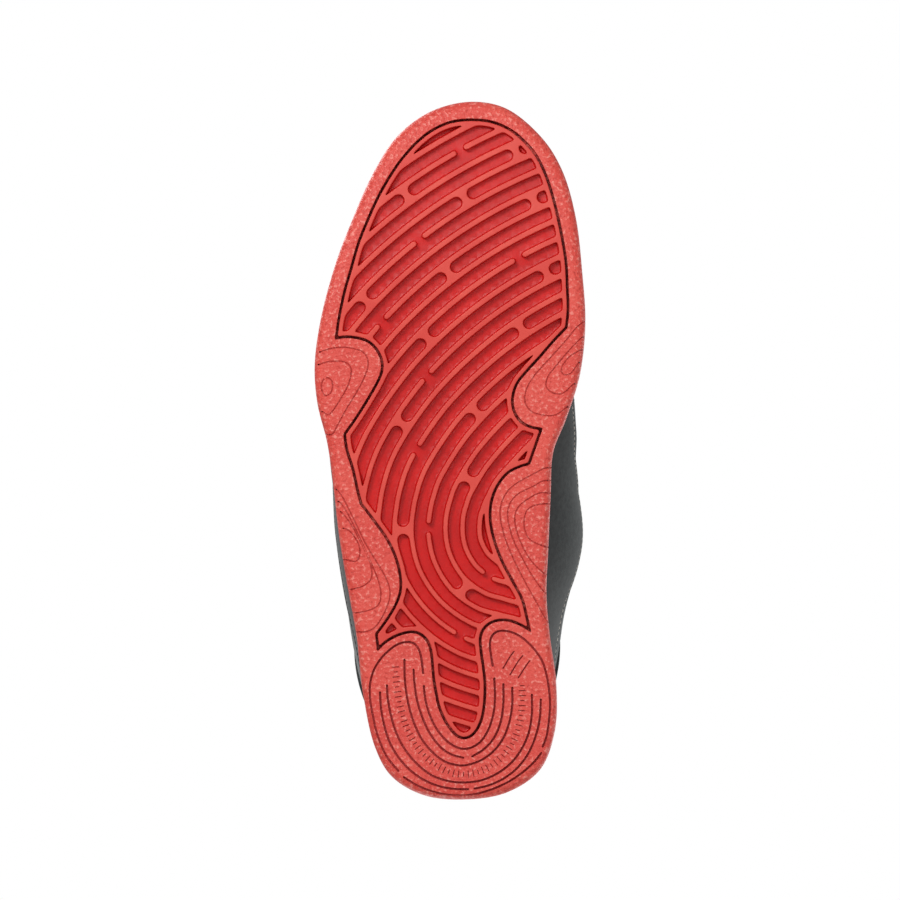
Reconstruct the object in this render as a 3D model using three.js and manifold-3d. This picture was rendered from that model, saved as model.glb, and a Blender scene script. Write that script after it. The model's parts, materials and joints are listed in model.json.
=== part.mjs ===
// A high-top basketball shoe for the right foot, built the way a cupsole shoe is put together.
// Millimetres. +X is the medial side, +Y the heel, +Z up. The ground is z = 0, and the origin is
// on the ground under the middle of the sole.
import * as THREE from 'three';
import { mergeVertices } from 'three/addons/utils/BufferGeometryUtils.js';
import Module from 'manifold-3d';

const wasm = await Module();
wasm.setup();

// ---- Driving dimensions ----

const soleLength = 300;
const soleWidth = 117;
const toeSpring = 12;            // the toe's lift above the ground
const toeSpringLength = 95;      // how far back from the toe tip the sole starts to lift
const heelRise = 5;              // how much thicker the midsole is under the heel
const collarHeight = 148;        // the collar's top edge at the back of the heel
const instepHeight = 156;        // the same edge at the front, where the tongue comes out

const cupWall = 4;               // the rubber sidewall of the cupsole
const cupFloor = 6.5;            // rubber under the midsole, between ground and midsole
const edgeRadius = 4;            // the roll from the ground face up to the sidewall
const treadPlateThickness = 1.8;
const treadDepth = 3;            // from the ground to the tread plate's floor
const treadRidgeWidth = 2.3;
const treadGap = 1.1;            // the open line between the tread plate and the rim round it
const fenceWidth = 1.7;          // the low wall along the tread plate's edge

const midsoleThickness = 4.5;    // under the forefoot
const strobelThickness = 1.2;
const sockThickness = 4;
const shankWidth = 16;
const shankLength = 92;
const shankThickness = 1.2;

const shellThickness = 1.8;      // the upper's base panels
const overlayThickness = 1.5;    // panels sewn on top of them
const stiffenerThickness = 1.2;  // toe puff and heel counter
const liningThickness = 1.1;
const collarPadThickness = 6;    // foam round the ankle
const fit = 0.35;                // clearance between pieces that lie on each other
const sockClearance = 1.4;       // round the sockliner, which lifts out

const tongueSkin = 1.2;
const tongueFoam = 5;
const tongueLining = 1;
const tongueHalfWidth = 27;
const tongueTopRise = 22;        // how far the tongue stands above the collar's front edge
const laceDiameter = 2.8;
const eyeletRows = 7;
const eyeletBore = 2.1;          // radius of the hole that the lace goes through
const eyeletWall = 0.5;
const eyeletFlange = 4;          // outer radius of the visible ring
const eyeletFromEdge = 8;        // from the throat's edge to the eyelets' centres
const eyestayWidth = 21;
const laceRoom = 1.5;            // free space on both sides of the lace, inside the throat
const pullLoopWidth = 15;
const pullLoopHeight = 24;
const pullLoopDepth = 11;
const webbing = 1.6;

// ---- Proportions of the sole's and the upper's outline, for a sole of 300 by 117 ----

const stretchX = soleWidth / 117;
const stretchY = soleLength / 300;
const stretchZ = collarHeight / 148;

// The sole's edge from the heel, forward along the lateral side to the toe, and back.
const lateralEdge = [
  [5, 150], [-12, 148], [-25.4, 140], [-32.5, 127.5], [-37.7, 104], [-40.4, 80], [-44, 60],
  [-48, 36], [-50.4, 15], [-53, -3], [-57.2, -20], [-58.4, -36], [-55.8, -56], [-49.4, -80],
  [-41.8, -100], [-32.8, -120], [-22.5, -135.5], [-8, -146],
];
const medialEdge = [
  [9, -150], [24, -147], [39.5, -134], [48, -120], [53.7, -100], [56.5, -76], [57.8, -54],
  [55.4, -32], [49.6, -13.5], [44, 1], [42.9, 20], [41.8, 44], [41.1, 62], [42.6, 80], [45.3, 100],
  [44.8, 120], [38.5, 137], [24, 147],
];

// The tread plate's pocket, as runs between its sharp corners.
const pocketRuns = [
  [[50.1, -52.3], [50.5, -70], [48.5, -90], [44, -110], [37, -127], [26, -138], [9, -142.5],
    [-8, -138], [-22, -124.5], [-32, -108], [-40, -89], [-46, -68], [-49.7, -47.3]],
  [[-49.7, -47.3], [-40, -47.5], [-32, -42.5], [-30, -36], [-36, -22], [-46, -6.9]],
  [[-46, -6.9], [-42.5, 8], [-38.9, 23.3]],
  [[-38.9, 23.3], [-33, 31], [-24.5, 45], [-22, 60], [-27.5, 72], [-32.4, 78.7]],
  [[-32.4, 78.7], [-31.5, 86.5]],
  [[-31.5, 86.5], [-24, 80.5], [-16, 78.5], [-10.5, 82], [-8.3, 92], [-5.5, 110], [0, 120.5],
    [6, 124], [12, 119.5], [15, 108], [14.5, 93], [13.2, 80.5], [17, 74.7], [25, 73.6],
    [34.5, 78.2]],
  [[34.5, 78.2], [31, 63.5], [22.5, 47.5], [17.5, 30], [20.5, 15.5], [26, 9], [34, 6.3]],
  [[34, 6.3], [39.5, -9.4]],
  [[39.5, -9.4], [30.5, -12.5], [27, -20], [29, -28.5], [38, -39], [50.1, -52.3]],
];

// The tread's ridges are parallel curves: circles about one centre by the arch, which open into
// wider circles towards the toe and towards the heel.
const ridgePitch = 7.53;
const ridgePhase = 0.22;
const ridgeCentre = [30.7, 29.9];
const ridgeTurns = [
  { from: 0.537, wider: 106.6, side: 1 },
  { from: 1.238, wider: 76.8, side: -1 },
];
const ridgeCount = 24;

// ---- The upper's ribs ----
// Every rib runs from the sole up to the collar's edge or, further forward, to the ridge line
// along the top of the foot. Ribs are counted from the heel, 0, to the toe, 1, on each side.
// Each list below gives [place, value] and is read with a smooth curve through its values.

const throatTop = 0.46;          // the rib that ends where the ridge line meets the collar
const throatBase = 0.68;         // the rib where the throat's slot ends, above the toes
const collarCentre = [3, 93];
const collarHalfWidth = 41;
const collarHalfLength = 45;

const rimAngle = [[0, 0], [0.1, 32], [0.2, 62], [0.3, 95], [0.4, 142], [throatTop, 180]];
const rimHeight = [[0, 148], [40, 145], [80, 138], [115, 139], [150, 148], [180, instepHeight]];
const ridgePlace = [[throatTop, 48], [0.52, 30], [0.6, -4], [0.7, -47], [0.8, -83], [0.9, -108],
  [1, -116]];
const ridgeHeight = [[-116, 54], [-90, 60], [-70, 64], [-50, 71], [-30, 81], [-10, 93], [10, 107],
  [25, 119.5], [38, 135], [48, instepHeight]];
const ridgeOffset = [[-116, 9], [-60, 7], [0, 5], [48, 4]];
const wallHeight = [[-150, 20], [-110, 20], [-50, 23], [10, 26], [70, 28], [150, 33]];

const handleUp = [[0, 42], [0.1, 40], [0.2, 36], [0.3, 36], [0.4, 40], [0.5, 38], [0.6, 28],
  [0.7, 19], [0.8, 15], [0.9, 14], [1, 13]];
const leanLateral = [[0, -1], [0.1, -1], [0.2, 10], [0.3, 15], [0.4, 19], [0.5, 19], [0.6, 4],
  [0.7, 1], [0.8, 1], [0.9, 1], [1, 1]];
const leanMedial = [[0, -1], [0.1, -1], [0.2, 6], [0.3, 21], [0.4, 44], [0.5, 42], [0.6, 13],
  [0.7, 1], [0.8, 1], [0.9, 1], [1, 1]];
const topReach = [[0, 45], [0.2, 42], [0.3, 42], [0.4, 38], [throatTop, 30], [0.55, 36], [0.7, 36],
  [0.8, 32], [0.9, 25], [1, 20]];
const topTurn = [[0, 90], [0.3, 90], [0.38, 78], [0.43, 52], [throatTop, 34]];
const topSweep = [[throatTop, 34], [0.5, 22], [0.56, 14], [0.7, 14], [0.8, 22], [0.9, 48], [1, 90]];
const pinch = [[0, 1], [0.2, 2], [0.35, 3], [throatTop, 0]];

const ribsPerSide = 18;
const stepsUp = 8;
const wallStep = 1 / stepsUp;    // the share of a rib that is hidden in the cup
const fineness = 4;              // finer lattice that pieces' edges are read from

// ---- Curves ----

// A smooth curve through [place, value] keys.
function smooth(keys, at) {
  const last = keys.length - 1;
  if (at <= keys[0][0]) return keys[0][1];
  if (at >= keys[last][0]) return keys[last][1];
  let i = 0;
  while (at > keys[i + 1][0]) i += 1;
  const slope = (a, b) => (keys[b][1] - keys[a][1]) / (keys[b][0] - keys[a][0]);
  const startSlope = i > 0 ? slope(i - 1, i + 1) : slope(i, i + 1);
  const endSlope = i + 1 < last ? slope(i, i + 2) : slope(i, i + 1);
  const span = keys[i + 1][0] - keys[i][0];
  const s = (at - keys[i][0]) / span;
  const rest = 1 - s;
  return keys[i][1] * rest * rest * (1 + 2 * s) + keys[i + 1][1] * s * s * (3 - 2 * s)
    + span * s * rest * (startSlope * rest - endSlope * s);
}

const soleCurve = new THREE.CatmullRomCurve3(
  [...lateralEdge, ...medialEdge].map(([x, y]) => new THREE.Vector3(x * stretchX, y * stretchY, 0)),
  true, 'centripetal');
soleCurve.arcLengthDivisions = 2000;
const toeShare = (() => {
  const lengths = soleCurve.getLengths();
  const toe = lateralEdge.length / (lateralEdge.length + medialEdge.length);
  return lengths[Math.round(toe * (lengths.length - 1))] / lengths[lengths.length - 1];
})();

// The sole's edge moved inwards. Round is 0 at the heel, 1 at the toe along the lateral side, and
// 2 at the heel again along the medial side.
function edgePoint(round, inset) {
  const share = round <= 1 ? round * toeShare : toeShare + (round - 1) * (1 - toeShare);
  const point = soleCurve.getPointAt(share % 1);
  const tangent = soleCurve.getTangentAt(share % 1);
  return new THREE.Vector3(point.x + tangent.y * -inset, point.y + tangent.x * inset, 0);
}

// Heights along the shoe are straight between stations, so that pieces which are split at the
// stations keep their clearances.
const stationStep = 20;
const atStations = (height) => (y) => {
  const low = Math.floor(y / stationStep) * stationStep;
  const share = (y - low) / stationStep;
  return height(low) * (1 - share) + height(low + stationStep) * share;
};
const spring = atStations((y) => {
  const run = Math.max(0, -y - (soleLength / 2 - toeSpringLength)) / toeSpringLength;
  return toeSpring * run * run;
});
const rise = atStations((y) => heelRise * THREE.MathUtils.smoothstep(y / stretchY, -50, 60));
const bedLevel = cupFloor + midsoleThickness + 2 * fit;
const bedHeight = (y) => bedLevel + rise(y) + spring(y);
const cupHeight = (y) => smooth(wallHeight, y / stretchY) + spring(y);

// ---- The upper's surface ----

const upperInset = cupWall + fit + overlayThickness + fit;
const up = new THREE.Vector3(0, 0, 1);

function ridgePoint(y) {
  return new THREE.Vector3(
    smooth(ridgeOffset, y) * stretchX, y * stretchY, smooth(ridgeHeight, y) * stretchZ);
}

function rimPoint(angle, side) {
  const turn = THREE.MathUtils.degToRad(angle);
  return new THREE.Vector3(
    (collarCentre[0] + side * collarHalfWidth * Math.sin(turn)) * stretchX,
    (collarCentre[1] + collarHalfLength * Math.cos(turn)) * stretchY,
    smooth(rimHeight, angle) * stretchZ);
}

// The four handles of one rib's curve.
function ribHandles(round) {
  const side = round <= 1 ? -1 : 1;
  const rib = round <= 1 ? round : 2 - round;
  const foot = edgePoint(round, upperInset);
  foot.z = cupHeight(foot.y) + 0.6;
  const outwards = edgePoint(round, upperInset - 1).sub(edgePoint(round, upperInset));
  const lean = smooth(side < 0 ? leanLateral : leanMedial, rib) * stretchX;
  const first = foot.clone().addScaledVector(outwards, lean)
    .addScaledVector(up, smooth(handleUp, rib) * stretchZ);
  const reach = smooth(topReach, rib);
  let top;
  let second;
  if (rib < throatTop) {
    const angle = smooth(rimAngle, rib);
    top = rimPoint(angle, side);
    const along = rimPoint(angle - 1, side).sub(rimPoint(angle + 1, side)).setZ(0).normalize();
    const away = new THREE.Vector3(along.y * -side, along.x * side, 0);
    const turn = THREE.MathUtils.degToRad(smooth(topTurn, rib));
    second = top.clone().addScaledVector(along, reach * Math.cos(turn))
      .addScaledVector(up, -reach * Math.sin(turn)).addScaledVector(away, -smooth(pinch, rib));
  } else {
    const y = smooth(ridgePlace, rib);
    top = ridgePoint(y);
    const ahead = ridgePoint(y + 1).sub(ridgePoint(y - 1)).normalize();
    const sweep = THREE.MathUtils.degToRad(smooth(topSweep, rib));
    second = top.clone().addScaledVector(ahead, -reach * Math.sin(sweep));
    second.x += side * reach * Math.cos(sweep);
  }
  return [foot, first, second, top];
}

// A lattice of points on the upper's outer face and its normals. The last row of the ribs past
// the throat's top is shared by both sides, because both end on the ridge line.
function makeLattice(ribCount, stepCount) {
  const columns = 2 * ribCount;
  const points = [];
  for (let i = 0; i < columns; i += 1) {
    const round = i / ribCount;
    const [foot, first, second, top] = ribHandles(round);
    const curve = new THREE.CubicBezierCurve3(foot, first, second, top);
    for (let j = 0; j <= stepCount; j += 1) {
      const share = j / stepCount;
      if (share < wallStep) {
        const low = new THREE.Vector3(foot.x, foot.y, bedHeight(foot.y));
        points.push(low.lerp(foot, share / wallStep));
      } else {
        points.push(curve.getPoint((share - wallStep) / (1 - wallStep)));
      }
    }
  }
  const normals = points.map(() => new THREE.Vector3());
  const at = (i, j) => ((i + columns) % columns) * (stepCount + 1) + j;
  for (let i = 0; i < columns; i += 1) {
    for (let j = 0; j < stepCount; j += 1) {
      const across = points[at(i + 1, j + 1)].clone().sub(points[at(i, j)]);
      const rising = points[at(i, j + 1)].clone().sub(points[at(i + 1, j)]);
      const facing = across.cross(rising);
      [at(i, j), at(i + 1, j), at(i, j + 1), at(i + 1, j + 1)].forEach((k) => normals[k].add(facing));
    }
  }
  for (let i = 1; i < ribCount; i += 1) {
    if (i / ribCount >= throatTop) {
      const lateral = normals[at(i, stepCount)];
      const medial = normals[at(columns - i, stepCount)];
      lateral.add(medial);
      medial.copy(lateral);
    }
  }
  normals.forEach((normal) => normal.normalize());
  return { columns, stepCount, ribCount, points, normals };
}

const lattice = makeLattice(ribsPerSide * fineness, stepsUp * fineness);

// A point of the upper at a place round the shoe and a share of the way up its rib, moved
// outwards by lift.
function upperPoint(round, share, lift) {
  const { columns, stepCount, ribCount, points, normals } = lattice;
  const i = round * ribCount;
  const j = share * stepCount;
  const i0 = Math.floor(i + 1e-9);
  const j0 = THREE.MathUtils.clamp(Math.floor(j + 1e-9), 0, stepCount - 1);
  const corner = (a, b) => {
    const k = ((i0 + a + columns) % columns) * (stepCount + 1) + j0 + b;
    return points[k].clone().addScaledVector(normals[k], lift);
  };
  const fi = Math.max(0, i - i0);
  const fj = j - j0;
  return corner(0, 0).lerp(corner(1, 0), fi).lerp(corner(0, 1).lerp(corner(1, 1), fi), fj);
}

// The share of the way up a rib at a given height.
function shareAtHeight(round, height) {
  const steps = stepsUp * fineness;
  for (let j = 1; j <= steps; j += 1) {
    const low = upperPoint(round, (j - 1) / steps, 0).z;
    const high = upperPoint(round, j / steps, 0).z;
    if (high >= height) return (j - 1 + Math.max(0, height - low) / (high - low)) / steps;
  }
  return 1;
}

// ---- Solids ----

function geometryOf(points, triangles) {
  const geometry = new THREE.BufferGeometry();
  const numbers = points.flatMap((p) => [p.x, p.y, p.z]);
  geometry.setAttribute('position', new THREE.Float32BufferAttribute(numbers, 3));
  geometry.setIndex(triangles.flat());
  return geometry;
}

function solidOf(geometry) {
  const bare = geometry.clone();
  bare.deleteAttribute('normal');
  bare.deleteAttribute('uv');
  const merged = mergeVertices(bare, 1e-4);
  const index = [];
  for (let i = 0; i < merged.index.count; i += 3) {
    const [a, b, c] = [0, 1, 2].map((k) => merged.index.getX(i + k));
    if (a !== b && b !== c && c !== a) index.push(a, b, c);
  }
  return new wasm.Manifold(new wasm.Mesh({
    numProp: 3,
    vertProperties: new Float32Array(merged.attributes.position.array),
    triVerts: new Uint32Array(index),
  }));
}

function geometryFrom(solid) {
  const mesh = solid.getMesh();
  const geometry = new THREE.BufferGeometry();
  geometry.setAttribute('position', new THREE.BufferAttribute(mesh.vertProperties, 3));
  geometry.setIndex(new THREE.BufferAttribute(mesh.triVerts, 1));
  return geometry;
}

// A closed solid whose faces all point out, whichever way round they were made.
function facingOut(points, triangles) {
  const solid = solidOf(geometryOf(points, triangles));
  return solid.volume() > 0 ? solid
    : solidOf(geometryOf(points, triangles.map(([a, b, c]) => [a, c, b])));
}

// Closed rings of points joined side by side, with a cap on the first and the last. The caps are
// rungs from each point to the one across, because the first point is at the heel's middle.
function solidFromRings(rings) {
  const count = rings[0].length;
  const points = rings.flat();
  const triangles = [];
  for (let r = 0; r + 1 < rings.length; r += 1) {
    for (let i = 0; i < count; i += 1) {
      const a = r * count + i;
      const b = r * count + ((i + 1) % count);
      triangles.push([a, b, b + count], [a, b + count, a + count]);
    }
  }
  const last = (rings.length - 1) * count;
  for (let i = 0; i < count / 2; i += 1) {
    const [a, b, c, d] = [i, i + 1, count - i - 1, count - i].map((k) => k % count);
    [[a, b, c], [a, c, d]].forEach(([p, q, r]) => {
      triangles.push([p, r, q], [last + p, last + q, last + r]);
    });
  }
  return facingOut(points, triangles);
}

// A flat outline extruded from one height to another.
function slab(outline, low, high) {
  const shape = new THREE.Shape(outline.map(([x, y]) => new THREE.Vector2(x, y)));
  const geometry = new THREE.ExtrudeGeometry(shape, { depth: high - low, bevelEnabled: false });
  return solidOf(geometry.translate(0, 0, low));
}

// The sole's outline, moved inwards, with a point at every rib and its height as a function of y.
function soleRing(inset, height) {
  const ring = [];
  for (let i = 0; i < 2 * ribsPerSide; i += 1) {
    const point = edgePoint(i / ribsPerSide, inset);
    point.z = height(point.y);
    ring.push(point);
  }
  return ring;
}

// Splits a solid's faces along the stations, then lifts every point by a height that is straight
// between them.
function lifted(solid, lift) {
  const mesh = solid.getMesh();
  const points = [];
  for (let i = 0; i < mesh.vertProperties.length; i += 3) {
    points.push(new THREE.Vector3(...mesh.vertProperties.slice(i, i + 3)));
  }
  let faces = [];
  for (let i = 0; i < mesh.triVerts.length; i += 3) faces.push([...mesh.triVerts.slice(i, i + 3)]);
  const reach = Math.ceil(soleLength / 2 / stationStep) * stationStep;
  for (let y = -reach; y <= reach; y += stationStep) {
    const bend = lift(y) - (lift(y - stationStep) + lift(y + stationStep)) / 2;
    if (Math.abs(bend) > 1e-9) faces = splitFaces(points, faces, y);
  }
  points.forEach((point) => { point.z += lift(point.y); });
  return geometryOf(points, faces);
}

// Splits every face that crosses the plane at y.
function splitFaces(points, faces, y) {
  const cuts = new Map();
  const side = (k) => (Math.abs(points[k].y - y) < 1e-4 ? 0 : Math.sign(points[k].y - y));
  const cut = (a, b) => {
    const key = a < b ? `${a}:${b}` : `${b}:${a}`;
    if (!cuts.has(key)) {
      const [low, high] = a < b ? [points[a], points[b]] : [points[b], points[a]];
      points.push(low.clone().lerp(high, (y - low.y) / (high.y - low.y)));
      cuts.set(key, points.length - 1);
    }
    return cuts.get(key);
  };
  const out = [];
  faces.forEach((face) => {
    const sides = face.map(side);
    if (!sides.includes(1) || !sides.includes(-1)) {
      out.push(face);
      return;
    }
    const parts = { 1: [], [-1]: [] };
    for (let k = 0; k < 3; k += 1) {
      const next = (k + 1) % 3;
      if (sides[k] >= 0) parts[1].push(face[k]);
      if (sides[k] <= 0) parts[-1].push(face[k]);
      if (sides[k] * sides[next] < 0) {
        const middle = cut(face[k], face[next]);
        parts[1].push(middle);
        parts[-1].push(middle);
      }
    }
    [parts[1], parts[-1]].forEach((ring) => {
      for (let k = 1; k + 1 < ring.length; k += 1) out.push([ring[0], ring[k], ring[k + 1]]);
    });
  });
  return out;
}

// A closed solid between two grids of points, outer(i, j) and inner(i, j). Where zipped(i) is
// true the last row is shared with the other side and gets no edge face.
function gridSolid(columns, rows, closed, outer, inner, zipped = () => false) {
  const points = [];
  const count = closed ? columns : columns + 1;
  for (let i = 0; i < count; i += 1) for (let j = 0; j <= rows; j += 1) points.push(outer(i, j));
  for (let i = 0; i < count; i += 1) for (let j = 0; j <= rows; j += 1) points.push(inner(i, j));
  const half = count * (rows + 1);
  const at = (i, j) => (closed ? i % count : i) * (rows + 1) + j;
  const triangles = [];
  const quad = (a, b, c, d) => triangles.push([a, b, c], [a, c, d]);
  for (let i = 0; i < columns; i += 1) {
    for (let j = 0; j < rows; j += 1) {
      quad(at(i, j), at(i, j + 1), at(i + 1, j + 1), at(i + 1, j));
      quad(half + at(i, j), half + at(i + 1, j), half + at(i + 1, j + 1), half + at(i, j + 1));
    }
    quad(at(i, 0), at(i + 1, 0), half + at(i + 1, 0), half + at(i, 0));
    if (!zipped(i)) {
      quad(at(i, rows), half + at(i, rows), half + at(i + 1, rows), at(i + 1, rows));
    }
  }
  if (!closed) {
    for (let j = 0; j < rows; j += 1) {
      quad(at(0, j), half + at(0, j), half + at(0, j + 1), at(0, j + 1));
      quad(at(columns, j), at(columns, j + 1), half + at(columns, j + 1), half + at(columns, j));
    }
  }
  return facingOut(points, triangles);
}

// The whole upper as one layer between two depths. A depth is a number or a function of the
// place round the shoe and the share of the way up. Start is the height above the bed.
function layer(outside, inside, start = 0) {
  const depth = (d, round, share) => (typeof d === 'function' ? d(round, share) : d);
  const read = (d) => (i, j) => {
    const round = i / ribsPerSide;
    const share = j === 0 ? shareAboveBed(round, start) : j / stepsUp;
    return upperPoint(round, share, depth(d, round, share));
  };
  const zipped = (i) => {
    const rib = (k) => Math.min(k, 2 * ribsPerSide - k) / ribsPerSide;
    return rib(i) >= throatTop && rib(i + 1) >= throatTop;
  };
  return gridSolid(2 * ribsPerSide, stepsUp, true, read(outside), read(inside), zipped);
}

// The share of the way up a rib at a height above the bed, inside the cup.
function shareAboveBed(round, height) {
  const low = upperPoint(round, 0, 0);
  return (wallStep * height) / (upperPoint(round, wallStep, 0).z - low.z);
}

// A block that cuts one panel out of a layer, with sides square to the upper. Place(a, b) gives
// the place round the shoe and the share of the way up, for a and b from 0 to 1.
function panelBlock(place, columns, rows, zipped = false) {
  const read = (lift) => (i, j) => upperPoint(...place(i / columns, j / rows), lift);
  return gridSolid(columns, rows, false, read(5), read(-collarPadThickness - 7), () => zipped);
}

// ---- Assembly ----

const shoe = new THREE.Group();
function add(name, body, color, roughness, metalness = 0) {
  const geometry = body.isBufferGeometry ? body : geometryFrom(body);
  const mesh = new THREE.Mesh(geometry, new THREE.MeshStandardMaterial({ color, roughness, metalness }));
  mesh.name = name;
  shoe.add(mesh);
  return mesh;
}

function join(solids) {
  return solids.reduce((sum, solid) => sum.add(solid));
}

// ---- Sole ----

// A loop sampled from runs that meet in sharp corners.
function loopFromRuns(runs, spacing) {
  return runs.flatMap((run) => {
    const curve = new THREE.CatmullRomCurve3(
      run.map(([x, y]) => new THREE.Vector3(x * stretchX, y * stretchY, 0)), false, 'centripetal');
    const steps = Math.max(1, Math.round(curve.getLength() / spacing));
    return curve.getSpacedPoints(steps).slice(0, -1).map((p) => [p.x, p.y]);
  });
}

// A loop moved inwards by a distance, with its corners kept sharp.
function insetLoop(loop, distance) {
  const turn = Math.sign(THREE.ShapeUtils.area(loop.map(([x, y]) => new THREE.Vector2(x, y))));
  return loop.map(([x, y], i) => {
    const [ax, ay] = loop[(i + loop.length - 1) % loop.length];
    const [bx, by] = loop[(i + 1) % loop.length];
    const before = new THREE.Vector2(x - ax, y - ay).normalize();
    const after = new THREE.Vector2(bx - x, by - y).normalize();
    const middle = before.clone().add(after).normalize();
    const mitre = Math.max(0.4, middle.dot(before));
    return [x - (middle.y * turn * distance) / mitre, y + (middle.x * turn * distance) / mitre];
  });
}

const pocket = loopFromRuns(pocketRuns, 9);
const pocketDepth = treadDepth + treadPlateThickness + fit;

function makeOutsole() {
  const rings = [0, 1, 2, 3].map((step) => {
    const turn = (step * Math.PI) / 6;
    const height = edgeRadius * (1 - Math.cos(turn));
    return soleRing(edgeRadius * (1 - Math.sin(turn)), (y) => height + spring(y));
  });
  rings.push(soleRing(0.4, (y) => cupHeight(y) - 1.2), soleRing(1.4, cupHeight));
  rings.push(soleRing(cupWall, cupHeight), soleRing(cupWall, (y) => cupFloor + spring(y)));
  return solidFromRings(rings).subtract(solidOf(lifted(slab(pocket, -1, pocketDepth), spring)));
}

// One ridge's centre line: an arc about the centre by the arch, with a wider arc at each end.
function ridgeLine(radius) {
  const [cx, cy] = ridgeCentre;
  const points = [];
  const arc = (x, y, r, from, to, steps) => {
    for (let i = 0; i <= steps; i += 1) {
      const turn = from + ((to - from) * i) / steps;
      points.push([x - r * Math.cos(turn), y - r * Math.sin(turn)]);
    }
  };
  const [toToe, toHeel] = ridgeTurns;
  const toeCentre = [cx + toToe.wider * Math.cos(toToe.from), cy + toToe.wider * Math.sin(toToe.from)];
  const heelCentre = [cx + toHeel.wider * Math.cos(toHeel.from), cy - toHeel.wider * Math.sin(toHeel.from)];
  arc(...heelCentre, radius + toHeel.wider, -toHeel.from - 0.5, -toHeel.from, 2);
  arc(cx, cy, radius, -toHeel.from + 0.1, toToe.from - 0.1, 4);
  arc(...toeCentre, radius + toToe.wider, toToe.from, toToe.from + 0.95, 4);
  return points.map(([x, y]) => [x * stretchX, y * stretchY]);
}

function makeTreadPlate() {
  const edge = insetLoop(pocket, treadGap);
  const floor = slab(edge, treadDepth, treadDepth + treadPlateThickness);
  const fence = slab(edge, 0, treadDepth + fit).subtract(
    slab(insetLoop(pocket, treadGap + fenceWidth), -1, treadDepth + 1));
  const inside = slab(insetLoop(pocket, treadGap + fenceWidth / 2), -1, treadDepth + fit);
  const ridges = [];
  for (let n = 1; n <= ridgeCount; n += 1) {
    const line = ridgeLine((n + ridgePhase) * ridgePitch);
    const strip = [1, -1].map((side) => line.map(([x, y], i) => {
      const [ax, ay] = line[Math.max(0, i - 1)];
      const [bx, by] = line[Math.min(line.length - 1, i + 1)];
      const length = Math.hypot(bx - ax, by - ay);
      const half = (side * treadRidgeWidth) / 2 / length;
      return [x - (by - ay) * half, y + (bx - ax) * half];
    }));
    const ridge = slab([...strip[0], ...strip[1].reverse()], 0, treadDepth + fit).intersect(inside);
    if (!ridge.isEmpty()) ridges.push(ridge);
  }
  return lifted(join([floor, fence, ...ridges]), spring);
}

const shankPlace = [0, 25];
function shankOutline(grow) {
  const [x, y] = shankPlace;
  const halfWidth = shankWidth / 2 + grow;
  const halfLength = (shankLength / 2) * stretchY + grow;
  const corner = halfWidth * 0.6;
  return [[1, 1], [-1, 1], [-1, -1], [1, -1]].flatMap(([sx, sy]) => {
    const ends = [[x + sx * halfWidth, y + sy * (halfLength - corner)],
      [x + sx * (halfWidth - corner), y + sy * halfLength]];
    return sx * sy > 0 ? ends : ends.reverse();
  });
}

const midsoleTop = (y) => bedHeight(y) - fit;

function makeMidsole() {
  const body = solidFromRings([soleRing(cupWall + fit, (y) => cupFloor + fit + spring(y)),
    soleRing(cupWall + fit, midsoleTop)]);
  const slot = slab(shankOutline(fit), -shankThickness - fit, shankThickness);
  return body.subtract(solidOf(lifted(slot, midsoleTop)));
}

function makeShank() {
  return lifted(slab(shankOutline(0), -shankThickness, 0), midsoleTop);
}

// ---- Layers of the upper, from the outside in. Depths are below the base panels' outer face. ----

const stiffenerDepth = shellThickness + fit;
const liningDepth = stiffenerDepth + stiffenerThickness + fit;
const bedEdge = upperInset + liningDepth;
const sockEdge = upperInset + liningDepth + liningThickness + sockClearance;

// How far the collar's padding has filled out: 0 low down and in front, 1 at the ankle.
function padding(round, share) {
  const rib = round <= 1 ? Math.abs(round) : Math.abs(2 - round);
  const back = 1 - THREE.MathUtils.smoothstep(rib, 0.36, 0.46);
  const low = THREE.MathUtils.smoothstep(share, 0.55, 0.8);
  return back * low * (1 - 0.45 * THREE.MathUtils.smoothstep(share, 0.9, 1));
}
const liningAt = (round, share) => liningDepth + collarPadThickness * padding(round, share);

function makeStrobel() {
  return solidFromRings([soleRing(bedEdge, bedHeight),
    soleRing(bedEdge, (y) => bedHeight(y) + strobelThickness)]);
}

function makeSockliner() {
  const at = (inset, height) => soleRing(inset, (y) => bedHeight(y) + strobelThickness + fit + height);
  return solidFromRings([at(sockEdge + 0.6, 0), at(sockEdge, 0.8), at(sockEdge, sockThickness - 1),
    at(sockEdge + 1.2, sockThickness)]);
}

// ---- The seams' lines ----

const below = -0.06;
const above = 1.06;

// Half the throat's width at a rib. Ribs nearer the heel end on the collar's edge.
const slotHalf = [[0.38, 21], [throatTop, 20], [0.56, 16], [throatBase, 12]];

// The share of the way up a rib where it comes within a width of the ridge line, seen from above.
function shareAtWidth(round, width) {
  const steps = 60;
  const centre = (p) => smooth(ridgeOffset, p.y / stretchY) * stretchX;
  let lastPoint = upperPoint(round, 1, 0);
  if (Math.abs(lastPoint.x - centre(lastPoint)) >= width) return above;
  for (let j = steps - 1; j > 0; j -= 1) {
    const point = upperPoint(round, j / steps, 0);
    const far = Math.abs(point.x - centre(point));
    const near = Math.abs(lastPoint.x - centre(lastPoint));
    if (far >= width) return (j + (far - width) / (far - near)) / steps;
    lastPoint = point;
  }
  return 0;
}
const ribOf = (round) => (round <= 1 ? round : 2 - round);
const slotShare = (round) => (
  ribOf(round) < slotHalf[0][0] ? above : shareAtWidth(round, smooth(slotHalf, ribOf(round))));

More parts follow.
